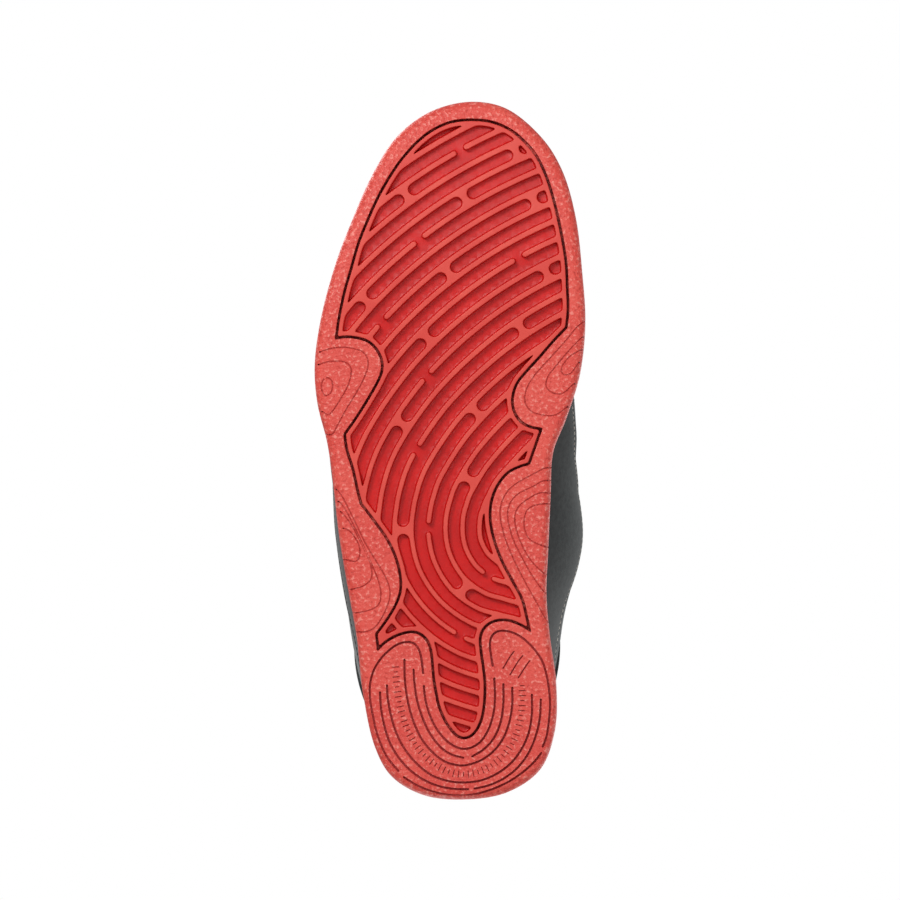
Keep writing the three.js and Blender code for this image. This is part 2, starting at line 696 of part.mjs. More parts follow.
// The share reached after going down a rib from a share by a distance.
function shareBelow(round, from, distance) {
  const step = 0.01;
  let share = Math.min(from, 1);
  let left = distance;
  while (share > step) {
    const length = upperPoint(round, share, 0).distanceTo(upperPoint(round, share - step, 0));
    if (length >= left) return share - (step * left) / length;
    left -= length;
    share -= step;
  }
  return 0;
}

const mix = THREE.MathUtils.lerp;

// Where the vamp meets the quarters: it leans back towards the sole.
const vampSeam = (share) => mix(0.55, throatBase, share);
const seamGap = 0.0012;

// A place on one side: lateral places count from 0, medial ones from 2.
const onSide = (side, rib) => (side < 0 ? rib : 2 - rib);

function vampBlock() {
  return panelBlock((a, b) => {
    const share = mix(below, 1, b);
    const rib = vampSeam(share) + seamGap;
    return [mix(rib, 2 - rib, a), share];
  }, 14, 6, true);
}

function quarterBlock(side) {
  return panelBlock((a, b) => {
    let seam = vampSeam(b);
    for (let i = 0; i < 4; i += 1) seam = vampSeam(mix(below, slotShare(onSide(side, seam)), b));
    const round = onSide(side, mix(seamGap, seam - seamGap, a));
    return [round, mix(below, slotShare(round), b)];
  }, 12, 5);
}

// A panel between two ribs of one side, from low(rib) to high(rib).
function sideBlock(side, from, to, low, high, columns = 10, rows = 3) {
  return panelBlock((a, b) => {
    const rib = mix(from, to, a);
    const round = onSide(side, rib);
    return [round, mix(low(rib, round), high(rib, round), b)];
  }, columns, rows);
}

// A panel that goes round the heel or the toe, with its upper edge at a height above the cup.
function wrapBlock(middle, reach, height, columns) {
  return panelBlock((a, b) => {
    const round = middle - reach + 2 * reach * a;
    const place = (round + 2) % 2;
    const foot = upperPoint(place, wallStep, 0);
    const top = shareAtHeight(place, foot.z + smooth(height, Math.abs(round - middle) / reach) * stretchZ);
    return [place, mix(below, top, b)];
  }, columns, 3);
}

// ---- Build the upper ----

// One panel of a layer: what a block holds of it, without slivers left by the cut.
function panel(sheet, block) {
  return sheet.intersect(block).decompose().sort((a, b) => b.volume() - a.volume())[0];
}

const base = layer(0, -shellThickness);
const overlay = layer(fit + overlayThickness, fit, 2 * fit);
const stiffener = layer(-stiffenerDepth, -stiffenerDepth - stiffenerThickness);
const lining = layer((r, s) => -liningAt(r, s), (r, s) => -liningAt(r, s) - liningThickness,
  strobelThickness + fit);
const collarFoam = layer(-stiffenerDepth, (r, s) => fit - liningAt(r, s));

const ankleHeight = (round, height) => shareAtHeight(round, height * stretchZ);

// ---- Eyelets ----

function eyeletPlace(row) {
  return mix(throatBase - 0.037, throatTop + 0.018, row / (eyeletRows - 1));
}

// A frame at an eyelet: its centre on the base panels' outer face and the way it faces.
function eyeletFrame(side, row) {
  const round = onSide(side, eyeletPlace(row));
  const share = shareBelow(round, slotShare(round), eyeletFromEdge);
  const centre = upperPoint(round, share, 0);
  const facing = upperPoint(round, share, 1).sub(centre).normalize();
  return { centre, facing };
}

function turnedTo(geometry, { centre, facing }) {
  const turn = new THREE.Quaternion().setFromUnitVectors(up, facing);
  return geometry.applyQuaternion(turn).translate(centre.x, centre.y, centre.z);
}

const eyeletSides = 8;
const flangeThickness = 0.8;
const flangeBase = 4 * fit + overlayThickness;

function makeEyelet(frame) {
  const outside = eyeletBore + eyeletWall;
  const foot = -shellThickness;
  const head = flangeBase + flangeThickness;
  const profile = [[eyeletBore, foot], [outside, foot], [outside, flangeBase],
    [eyeletFlange, flangeBase], [eyeletFlange - 0.6, head], [eyeletBore, head], [eyeletBore, foot]];
  const lathe = new THREE.LatheGeometry(profile.map(([r, z]) => new THREE.Vector2(r, z)), eyeletSides);
  lathe.rotateX(Math.PI / 2);
  return solidOf(turnedTo(lathe, frame));
}

function eyeletHole(frame) {
  const radius = eyeletBore + eyeletWall + fit;
  const hole = new THREE.CylinderGeometry(radius, radius, 20, eyeletSides);
  hole.rotateX(Math.PI / 2);
  return solidOf(turnedTo(hole, frame));
}

const sides = { lateral: -1, medial: 1 };
const eyelets = Object.entries(sides).flatMap(([name, side]) => (
  Array.from({ length: eyeletRows }, (_, row) => ({ name: `eyelet_${name}_${row + 1}`, side, row,
    frame: eyeletFrame(side, row) }))));
const holes = (side) => join(eyelets.filter((e) => e.side === side).map((e) => eyeletHole(e.frame)));
const sideHoles = { lateral: holes(-1), medial: holes(1) };

add('outsole', makeOutsole(), 0xd9503f, 0.55);
add('tread_plate', makeTreadPlate(), 0xc22018, 0.45);
add('midsole', makeMidsole(), 0xe8e4dc, 0.8);
add('shank', makeShank(), 0x8c8f92, 0.4, 0.8);
add('strobel_board', makeStrobel(), 0xd8d2c4, 0.9);
add('sockliner', makeSockliner(), 0x3a3d3d, 0.9);

add('vamp', panel(base, vampBlock()), 0x505454, 0.85);
Object.entries(sides).forEach(([name, side]) => {
  const bare = panel(base, quarterBlock(side));
  add(`quarter_${name}`, bare.subtract(sideHoles[name]), 0x505454, 0.85);
});

add('toe_cap', panel(overlay, wrapBlock(1, 0.42,
  [[0, 24], [0.35, 21], [0.7, 13], [1, 7]], 20)), 0x484c4c, 0.85);
add('heel_overlay', panel(overlay, wrapBlock(0, 0.19,
  [[0, 52], [0.3, 50], [0.7, 36], [1, 22]], 12)), 0x484c4c, 0.85);
add('heel_tab', panel(overlay, sideBlock(-1, -0.03, 0.03, (rib, round) => (
  ankleHeight((round + 2) % 2, 92)), () => above, 4, 4)), 0x2e3131, 0.85);
Object.entries(sides).forEach(([name, side]) => {
  const foxingTop = (rib, round) => {
    const foot = upperPoint(round, wallStep, 0);
    return shareAtHeight(round, foot.z + smooth([[0.2, 21], [0.4, 24], [0.57, 8]], rib) * stretchZ);
  };
  add(`foxing_${name}`, panel(overlay, sideBlock(side, 0.195, 0.572, () => below, foxingTop)),
    0x484c4c, 0.85);
  const stay = sideBlock(side, 0.375, 0.69,
    (rib, round) => shareBelow(round, slotShare(round), eyestayWidth),
    (rib, round) => (rib > throatBase ? slotShare(onSide(side, throatBase)) : slotShare(round)), 14, 3);
  add(`eyestay_${name}`, panel(overlay, stay).subtract(sideHoles[name]), 0x414545, 0.8);
  const ankle = sideBlock(side, 0.036, 0.368,
    (rib, round) => ankleHeight(round, smooth([[0.03, 112], [0.2, 104], [0.37, 112]], rib)),
    () => above, 12, 3);
  add(`collar_panel_${name}`, panel(overlay, ankle), 0x484c4c, 0.8);
});

add('toe_puff', panel(stiffener, wrapBlock(1, 0.2, [[0, 22], [0.6, 20], [1, 12]], 10)),
  0xcfc7b2, 0.9);
add('heel_counter', panel(stiffener, wrapBlock(0, 0.23, [[0, 34], [0.5, 30], [1, 10]], 10)),
  0xcfc7b2, 0.9);
add('vamp_lining', panel(lining, vampBlock()), 0x2c2f2f, 0.95);
Object.entries(sides).forEach(([name, side]) => {
  add(`lining_${name}`, panel(lining, quarterBlock(side)).subtract(sideHoles[name]), 0x2c2f2f, 0.95);
  const foam = sideBlock(side, 0.004, 0.41, () => 0.62, () => above, 12, 4);
  add(`collar_foam_${name}`, panel(collarFoam, foam), 0xe6e0a8, 0.95);
});

eyelets.forEach(({ name, frame }) => add(name, makeEyelet(frame), 0x9a9c9c, 0.35, 0.9));

// ---- Tongue: it lies inside the throat and stands above the collar ----

const tongueDepth = liningDepth + liningThickness + laceDiameter + 2 * laceRoom;
const tongueRoot = 0.74;         // the rib where the tongue is sewn in, under the vamp

// Cross-sections from the root to the top. Each gives a point for a distance from the middle
// and a depth: the lower ones hang below the upper's face, the upper ones stand in the collar.
const ribSection = (rib, halfWidth) => (across, depth) => {
  const round = onSide(Math.sign(across) || 1, rib);
  const share = Math.min(1, shareAtWidth(round, Math.abs(across) * halfWidth));
  return upperPoint(round, share, -depth);
};
const collarSection = (height, halfWidth, lean) => (across, depth) => {
  const reachX = collarHalfWidth * stretchX - depth;
  const reachY = collarHalfLength * stretchY - depth - lean;
  const turn = (across * halfWidth) / reachX;
  return new THREE.Vector3(collarCentre[0] * stretchX + reachX * Math.sin(turn),
    collarCentre[1] * stretchY - reachY * Math.cos(turn), height - 1.6 * across * across);
};
const foldHeight = instepHeight * stretchZ;
const tongueSections = [
  ribSection(tongueRoot, 19), ribSection(0.7, 22), ribSection(0.65, tongueHalfWidth - 2),
  ribSection(0.6, tongueHalfWidth), ribSection(0.55, tongueHalfWidth), ribSection(0.51, tongueHalfWidth),
  collarSection(foldHeight - 16, tongueHalfWidth - 4, 4),
  collarSection(foldHeight, tongueHalfWidth - 1, 0),
  collarSection(foldHeight + tongueTopRise, tongueHalfWidth - 4, -1),
];
const foldPlace = (tongueSections.length - 2) / (tongueSections.length - 1);

function tonguePoint(place, across, depth) {
  const spine = new THREE.CatmullRomCurve3(tongueSections.map((section) => section(across, depth)));
  return spine.getPoint(place);
}

function tongueLayer(from, to, outside, inside, steps) {
  const strips = 6;
  const read = (depth) => (i, j) => (
    tonguePoint(mix(from, to, i / steps), mix(-1, 1, j / strips), depth));
  return gridSolid(steps, strips, false, read(outside), read(inside));
}

const tongueLayers = [
  ['face', tongueSkin, 0x484c4c], ['foam', tongueFoam, 0xe6e0a8], ['lining', tongueLining, 0x2c2f2f]];
const foldGap = 0.006;
let layerDepth = tongueDepth;
tongueLayers.forEach(([name, thickness, color]) => {
  const [outside, inside] = [layerDepth, layerDepth + thickness];
  add(`tongue_${name}`, tongueLayer(0, foldPlace - foldGap, outside, inside, 13), color, 0.9);
  add(`tongue_top_${name}`, tongueLayer(foldPlace + foldGap, 1, outside, inside, 3), color, 0.9);
  layerDepth = inside + fit;
});

// ---- Lace: straight bars over the throat, with its ends tucked inside ----

const laceRadius = laceDiameter / 2;
const topBend = 3;
const lowBend = 2.4;

// The lace's way through one eyelet, from the bar outside to the riser inside.
function laceTurn({ side, row, frame: { centre, facing } }, towards) {
  const round = onSide(side, eyeletPlace(row));
  const edge = slotShare(round);
  const edgeTop = upperPoint(round, edge, 3 * fit + overlayThickness + laceRadius);
  const corner = centre.clone().addScaledVector(facing,
    flangeBase + flangeThickness + 2 * fit + laceRadius + 0.4);
  const inwards = edgeTop.clone().sub(corner).normalize();
  const lowCorner = centre.clone().addScaledVector(facing,
    -liningDepth - liningThickness - laceRoom - laceRadius);
  const bar = corner.clone().addScaledVector(inwards, topBend);
  const drop = corner.clone().addScaledVector(facing, -topBend);
  const middle = new THREE.QuadraticBezierCurve3(bar, corner, drop).getPoint(0.5);
  return [edgeTop, bar, middle, drop, lowCorner.clone().addScaledVector(facing, lowBend),
    lowCorner.clone().addScaledVector(towards.clone().sub(lowCorner).normalize(), lowBend)];
}

function makeLace() {
  const at = (side, row) => eyelets.find((e) => e.side === side && e.row === row);
  const inside = ({ frame: { centre, facing } }) => centre.clone()
    .addScaledVector(facing, -liningDepth - liningThickness - laceRoom - laceRadius);
  const stations = [];
  for (let row = 0; row < eyeletRows; row += 1) {
    const start = row % 2 === 0 ? -1 : 1;
    const last = row + 1 === eyeletRows;
    const came = inside(at(start, row === 0 ? row + 1 : row - 1));
    const goes = inside(at(-start, last ? row - 1 : row + 1));
    const first = laceTurn(at(start, row), came);
    const second = laceTurn(at(-start, row), goes);
    const middle = first[0].clone().lerp(second[0], 0.5).addScaledVector(up, 0.6);
    stations.push(...first.reverse(), middle, ...second);
  }
  const path = new THREE.Curve();
  const steps = stations.length - 1;
  path.getPoint = (t) => {
    const i = Math.min(Math.floor(t * steps), steps - 1);
    return stations[i].clone().lerp(stations[i + 1], t * steps - i);
  };
  path.getUtoTmapping = (u) => u;
  const section = new THREE.Shape();
  section.absarc(0, 0, laceRadius, 0, 2 * Math.PI);
  return new THREE.ExtrudeGeometry(section, { steps, curveSegments: 4, bevelEnabled: false,
    extrudePath: path });
}
add('lace', solidOf(makeLace()), 0x3a3d3d, 0.9);

// ---- Pull loop at the back of the collar ----

function makePullLoop() {
  const bend = pullLoopDepth / 2;
  const straight = pullLoopHeight - pullLoopDepth;
  const outline = (path, inset) => {
    path.absarc(0, bend, bend - inset, Math.PI, 2 * Math.PI);
    path.absarc(0, bend + straight, bend - inset, 0, Math.PI);
    path.closePath();
    return path;
  };
  const shape = outline(new THREE.Shape(), 0);
  shape.holes.push(outline(new THREE.Path(), webbing));
  const geometry = new THREE.ExtrudeGeometry(shape,
    { depth: pullLoopWidth, bevelEnabled: false, curveSegments: 5 });
  return geometry.translate(0, 0, -pullLoopWidth / 2).rotateX(Math.PI / 2).rotateZ(Math.PI / 2);
}
const pullLoop = add('heel_pull_loop', makePullLoop(), 0x2e3131, 0.85);
const collarBack = rimPoint(0, 1);
pullLoop.position.set(collarBack.x, collarBack.y - 1, collarBack.z + 1.6);

// The outline's middle stands over the origin.
const middle = new THREE.Box3().setFromObject(shoe).getCenter(new THREE.Vector3());
shoe.position.set(-middle.x, -middle.y, 0);

export default shoe;
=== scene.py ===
# High-top basketball shoe: the looks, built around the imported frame.
# Shapes are worked out in millimetres and become metres when a piece is made.
import json
import math
import bpy
import numpy as np
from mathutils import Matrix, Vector
from mathutils.bvhtree import BVHTree
from mathutils.geometry import delaunay_2d_cdt
from mathutils.kdtree import KDTree

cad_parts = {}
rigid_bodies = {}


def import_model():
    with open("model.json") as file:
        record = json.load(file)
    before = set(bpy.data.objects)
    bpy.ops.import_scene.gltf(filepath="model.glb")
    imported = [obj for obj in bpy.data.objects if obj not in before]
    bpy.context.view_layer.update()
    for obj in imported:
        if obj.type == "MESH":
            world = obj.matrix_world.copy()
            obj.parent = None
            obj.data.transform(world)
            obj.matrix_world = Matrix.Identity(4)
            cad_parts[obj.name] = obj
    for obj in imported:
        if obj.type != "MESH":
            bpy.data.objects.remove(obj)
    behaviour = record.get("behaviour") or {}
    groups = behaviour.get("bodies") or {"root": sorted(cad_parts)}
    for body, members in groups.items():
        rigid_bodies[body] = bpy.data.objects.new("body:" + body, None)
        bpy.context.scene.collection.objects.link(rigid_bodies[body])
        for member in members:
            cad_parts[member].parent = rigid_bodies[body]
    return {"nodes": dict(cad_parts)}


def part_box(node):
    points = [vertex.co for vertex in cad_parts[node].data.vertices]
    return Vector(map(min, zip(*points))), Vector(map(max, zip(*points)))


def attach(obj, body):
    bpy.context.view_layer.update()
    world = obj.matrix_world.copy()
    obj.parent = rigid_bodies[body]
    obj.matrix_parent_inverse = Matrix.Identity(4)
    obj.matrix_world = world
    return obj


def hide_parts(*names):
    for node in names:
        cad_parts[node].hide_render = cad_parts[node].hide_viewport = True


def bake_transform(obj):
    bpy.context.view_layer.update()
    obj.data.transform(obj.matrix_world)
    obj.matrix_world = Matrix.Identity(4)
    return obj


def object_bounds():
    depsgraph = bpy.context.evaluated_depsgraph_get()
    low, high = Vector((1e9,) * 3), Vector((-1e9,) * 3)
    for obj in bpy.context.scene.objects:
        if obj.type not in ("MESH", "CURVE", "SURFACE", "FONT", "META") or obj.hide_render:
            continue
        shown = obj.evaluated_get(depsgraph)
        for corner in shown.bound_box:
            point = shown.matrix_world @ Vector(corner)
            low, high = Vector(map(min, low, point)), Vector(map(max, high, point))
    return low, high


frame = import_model()
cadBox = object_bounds()
nodes = frame["nodes"]
random = np.random.default_rng(7)


# Small helpers.

def linearColour(hexText):
    values = [int(hexText[i:i + 2], 16) / 255 for i in (1, 3, 5)]
    return [v / 12.92 if v <= 0.04045 else ((v + 0.055) / 1.055) ** 2.4 for v in values] + [1]


def deselectAll():
    bpy.ops.object.select_all(action="DESELECT")


def makeActive(piece):
    deselectAll()
    piece.select_set(True)
    bpy.context.view_layer.objects.active = piece


def smoothStep(value, low, high):
    t = np.clip((np.asarray(value, float) - low) / (high - low), 0, 1)
    return t * t * (3 - 2 * t)


def readKeys(keys, at):
    # a smooth curve through [place, value] keys
    keys = np.asarray(keys, float)
    at = np.clip(np.asarray(at, float), keys[0, 0], keys[-1, 0])
    slopes = np.empty(len(keys))
    slopes[1:-1] = (keys[2:, 1] - keys[:-2, 1]) / (keys[2:, 0] - keys[:-2, 0])
    slopes[0] = (keys[1, 1] - keys[0, 1]) / (keys[1, 0] - keys[0, 0])
    slopes[-1] = (keys[-1, 1] - keys[-2, 1]) / (keys[-1, 0] - keys[-2, 0])
    i = np.clip(np.searchsorted(keys[:, 0], at, side="right") - 1, 0, len(keys) - 2)
    span = keys[i + 1, 0] - keys[i, 0]
    s = (at - keys[i, 0]) / span
    rest = 1 - s
    return (keys[i, 1] * rest ** 2 * (1 + 2 * s) + keys[i + 1, 1] * s ** 2 * (3 - 2 * s)
            + span * s * rest * (slopes[i] * rest - slopes[i + 1] * s))


def curveThrough(points, closed, steps):
    # a centripetal curve through the points, with this many steps between two of them
    points = np.asarray(points, float)
    count = len(points)
    spans = count if closed else count - 1
    out = []
    for i in range(spans):
        if closed:
            p = [points[(i + k) % count] for k in (-1, 0, 1, 2)]
        else:
            p = [points[i - 1] if i else 2 * points[0] - points[1], points[i], points[i + 1],
                 points[i + 2] if i + 2 < count else 2 * points[-1] - points[-2]]
        d = [max(np.sum((p[k + 1] - p[k]) ** 2) ** 0.25, 1e-6) for k in range(3)]
        t1 = ((p[1] - p[0]) / d[0] - (p[2] - p[0]) / (d[0] + d[1]) + (p[2] - p[1]) / d[1]) * d[1]
        t2 = ((p[2] - p[1]) / d[1] - (p[3] - p[1]) / (d[1] + d[2]) + (p[3] - p[2]) / d[2]) * d[1]
        s = np.linspace(0, 1, steps, endpoint=False)[:, None]
        out.append(p[1] + t1 * s + (3 * (p[2] - p[1]) - 2 * t1 - t2) * s ** 2
                   + (2 * (p[1] - p[2]) + t1 + t2) * s ** 3)
    if not closed:
        out.append(points[-1:])
    return np.vstack(out)


def spacedAlong(points, spacing, closed=False):
    points = np.asarray(points, float)
    line = np.vstack([points, points[:1]]) if closed else points
    length = np.concatenate([[0], np.cumsum(np.linalg.norm(np.diff(line, axis=0), axis=1))])
    count = max(3 if closed else 1, int(round(length[-1] / spacing)))
    at = np.linspace(0, length[-1], count + 1)
    if closed:
        at = at[:-1]
    return np.stack([np.interp(at, length, line[:, k]) for k in range(line.shape[1])], axis=1)


# The sole's outline.

sole = {
    "lateral": [[5, 150], [-12, 148], [-25.4, 140], [-32.5, 127.5], [-37.7, 104], [-40.4, 80],
                [-44, 60], [-48, 36], [-50.4, 15], [-53, -3], [-57.2, -20], [-58.4, -36],
                [-55.8, -56], [-49.4, -80], [-41.8, -100], [-32.8, -120], [-22.5, -135.5],
                [-8, -146]],
    "medial": [[9, -150], [24, -147], [39.5, -134], [48, -120], [53.7, -100], [56.5, -76],
               [57.8, -54], [55.4, -32], [49.6, -13.5], [44, 1], [42.9, 20], [41.8, 44],
               [41.1, 62], [42.6, 80], [45.3, 100], [44.8, 120], [38.5, 137], [24, 147]],
    "floor": 6.5, "wall": 4, "edgeRadius": 4, "toeSpring": 12, "springFrom": -55,
    "springLength": 95, "heelRise": 5, "midsole": 4.5, "fit": 0.35,
    "wallHeight": [[-150, 20], [-110, 20], [-50, 23], [10, 26], [70, 28], [150, 33]],
}
outline = curveThrough(sole["lateral"] + sole["medial"], True, 60)
outlineClosed = np.vstack([outline, outline[:1]])
outlineLength = np.concatenate([[0], np.cumsum(
    np.linalg.norm(np.diff(outlineClosed, axis=0), axis=1))])
toeShare = outlineLength[len(sole["lateral"]) * 60] / outlineLength[-1]
frameShift = np.array([-(outline[:, 0].min() + outline[:, 0].max()) / 2, 0, 0])


def edgePoints(rounds, inset):
    # the sole's edge moved inwards; 0 is the heel, 1 the toe by the lateral side, 2 the heel
    rounds = np.mod(np.asarray(rounds, float), 2)
    share = np.where(rounds <= 1, rounds * toeShare, toeShare + (rounds - 1) * (1 - toeShare))
    at = share * outlineLength[-1]

    def read(length):
        length = np.mod(length, outlineLength[-1])
        return np.stack([np.interp(length, outlineLength, outlineClosed[:, k]) for k in (0, 1)], -1)
    point = read(at)
    ahead = read(at + 0.8) - read(at - 0.8)
    ahead /= np.linalg.norm(ahead, axis=-1, keepdims=True)
    inset = np.asarray(inset, float)
    return np.stack([point[..., 0] - ahead[..., 1] * inset, point[..., 1] + ahead[..., 0] * inset], -1)


def spring(y):
    run = np.clip(sole["springFrom"] - np.asarray(y, float), 0, None) / sole["springLength"]
    return sole["toeSpring"] * run ** 2


def bedHeight(y):
    return (sole["floor"] + sole["midsole"] + 2 * sole["fit"]
            + sole["heelRise"] * smoothStep(y, -50, 60) + spring(y))


def cupHeight(y):
    return readKeys(sole["wallHeight"], y) + spring(y)


# Materials.

def addNode(tree, kind, settings=None, links=None):
    # one node, with its settings by name or socket and the sockets that feed it
    node = tree.nodes.new(kind)
    for key, value in (settings or {}).items():
        if isinstance(key, str) and hasattr(node, key):
            setattr(node, key, value)
        else:
            node.inputs[key].default_value = value
    for socket, source in (links or {}).items():
        tree.links.new(source, node.inputs[socket])
    return node


def newMaterial(name):
    material = bpy.data.materials.new(name)
    material.use_nodes = True
    tree = material.node_tree
    shader = tree.nodes["Principled BSDF"]
    place = addNode(tree, "ShaderNodeTexCoord")
    return material, tree, shader, place.outputs["Object"]


def mixColours(tree, factor, first, second):
    mix = addNode(tree, "ShaderNodeMix", {"data_type": "RGBA"}, {0: factor})
    for socket, value in ((6, first), (7, second)):
        if isinstance(value, str):
            mix.inputs[socket].default_value = linearColour(value)
        else:
            tree.links.new(value, mix.inputs[socket])
    return mix.outputs[2]


def ramp(tree, value, low, high):
    return addNode(tree, "ShaderNodeMapRange", {"interpolation_type": "SMOOTHSTEP", 1: low, 2: high},
                   {0: value}).outputs[0]


def makeOutsoleRubber():
    # moulded gum-type rubber, spark-eroded: a coarse orange peel that scatters its shine, with painted
    # highlights on its crests and painted shade in its dips; the engraved lines and the tread pocket are
    # painted darker as painted shade
    material, tree, shader, place = newMaterial("mouldedOutsoleRubber")
    peel = addNode(tree, "ShaderNodeTexNoise", {"Scale": 640, "Detail": 2, "Roughness": 0.55},
                   {"Vector": place})
    cloud = addNode(tree, "ShaderNodeTexNoise", {"Scale": 38, "Detail": 3}, {"Vector": place})
    scuff = addNode(tree, "ShaderNodeTexNoise", {"Scale": 420, "Detail": 4}, {"Vector": place})
    base = mixColours(tree, ramp(tree, cloud.outputs[0], 0.35, 0.68), "#d6443a", "#dd5044")
    # painted shade in the dips of the orange peel, and painted highlights on its crests
    base = mixColours(tree, ramp(tree, peel.outputs[0], 0.44, 0.30), base, "#c2372e")
    base = mixColours(tree, ramp(tree, peel.outputs[0], 0.54, 0.68), base, "#ea8074")
    base = mixColours(tree, ramp(tree, scuff.outputs[0], 0.64, 0.84), base, "#e98478")
    # painted shade: the engraved lines and the tread pocket are painted a dark red through the depth attribute
    deep = addNode(tree, "ShaderNodeAttribute", {"attribute_name": "depth"})
    base = mixColours(tree, deep.outputs["Fac"], base, "#960c09")
    tree.links.new(base, shader.inputs["Base Color"])
    bump = addNode(tree, "ShaderNodeBump", {"Strength": 0.6, "Distance": 0.0011},
                   {"Height": peel.outputs[0]})
    tree.links.new(bump.outputs[0], shader.inputs["Normal"])
    rough = addNode(tree, "ShaderNodeMapRange", {3: 0.44, 4: 0.62}, {0: cloud.outputs[0]})
    tree.links.new(rough.outputs[0], shader.inputs["Roughness"])
    shader.inputs["IOR"].default_value = 1.48
    return material


def makeTreadRubber():
    # moulded high-grip rubber from a polished mould: satin ridges, deep red channels; the lighter ridge tops
    # are a painted sheen and the deeper red channels are painted shade
    material, tree, shader, place = newMaterial("polishedTreadRubber")
    deep = addNode(tree, "ShaderNodeAttribute", {"attribute_name": "depth"})
    cloud = addNode(tree, "ShaderNodeTexNoise", {"Scale": 60, "Detail": 3}, {"Vector": place})
    # painted sheen: the ridge tops are painted a lighter salmon red
    top = mixColours(tree, ramp(tree, cloud.outputs[0], 0.35, 0.7), "#d24037", "#da4d41")
    # painted shade: the channels are painted a deeper red than the tops
    low = mixColours(tree, ramp(tree, cloud.outputs[0], 0.35, 0.7), "#bf0605", "#cc0b09")
    base = mixColours(tree, ramp(tree, deep.outputs["Fac"], 0.0, 0.35), top, low)
    tree.links.new(base, shader.inputs["Base Color"])
    grain = addNode(tree, "ShaderNodeTexNoise", {"Scale": 700, "Detail": 2}, {"Vector": place})
    bump = addNode(tree, "ShaderNodeBump", {"Strength": 0.12, "Distance": 0.0005},
                   {"Height": grain.outputs[0]})
    tree.links.new(bump.outputs[0], shader.inputs["Normal"])
    rough = addNode(tree, "ShaderNodeMapRange", {3: 0.52, 4: 0.46}, {0: deep.outputs["Fac"]})
    tree.links.new(rough.outputs[0], shader.inputs["Roughness"])
    shader.inputs["IOR"].default_value = 1.42
    return material


outsoleRubber = makeOutsoleRubber()
treadRubber = makeTreadRubber()


# Making pieces.

def newPiece(name, points, faces, material, body, replaces=(), depth=None, angle=35):
    # a mesh from millimetre points, riding on a body
    points = np.asarray(points, float) + frameShift
    mesh = bpy.data.meshes.new(name)
    mesh.from_pydata((points / 1000).tolist(), [], [list(map(int, f)) for f in faces])
    mesh.validate()
    piece = bpy.data.objects.new(name, mesh)
    bpy.context.scene.collection.objects.link(piece)
    mesh.materials.append(material)
    if depth is not None:
        attribute = mesh.attributes.new("depth", "FLOAT", "POINT")
        attribute.data.foreach_set("value", np.asarray(depth, np.float32))
    makeActive(piece)
    if angle:
        bpy.ops.object.shade_smooth_by_angle(angle=math.radians(angle))
    if body:
        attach(piece, body)
    if replaces:
        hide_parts(*replaces)
    return piece


def ringFaces(first, second, count, closed=True):
    faces = []
    for i in range(count if closed else count - 1):
        j = (i + 1) % count
        faces.append((first + i, first + j, second + j, second + i))
    return faces


def fillBetween(loops, keep, grid=4.0):
    # triangles that fill flat loops, with extra points inside so that the fill can bend
    points = np.vstack(loops)
    edges = []
    start = 0
    for loop in loops:
        n = len(loop)
        edges += [(start + i, start + (i + 1) % n) for i in range(n)]
        start += n
    low, high = points.min(0), points.max(0)
    gx, gy = np.meshgrid(np.arange(low[0], high[0], grid), np.arange(low[1], high[1], grid))
    extra = np.stack([gx.ravel(), gy.ravel()], 1)
    extra = extra[keep(extra, 0.7)]
    every = np.vstack([points, extra])
    verts, _, faces, origin, _, _ = delaunay_2d_cdt(
        [Vector(p) for p in every.tolist()], edges, [], 1, 1e-7)
    verts = np.array([tuple(v) for v in verts])
    faces = np.array(faces)
    centres = verts[faces].mean(1)
    faces = faces[keep(centres, 0.0)]
    return verts, faces, origin


# Distance fields on a fine grid, from which the tread's outlines are read.

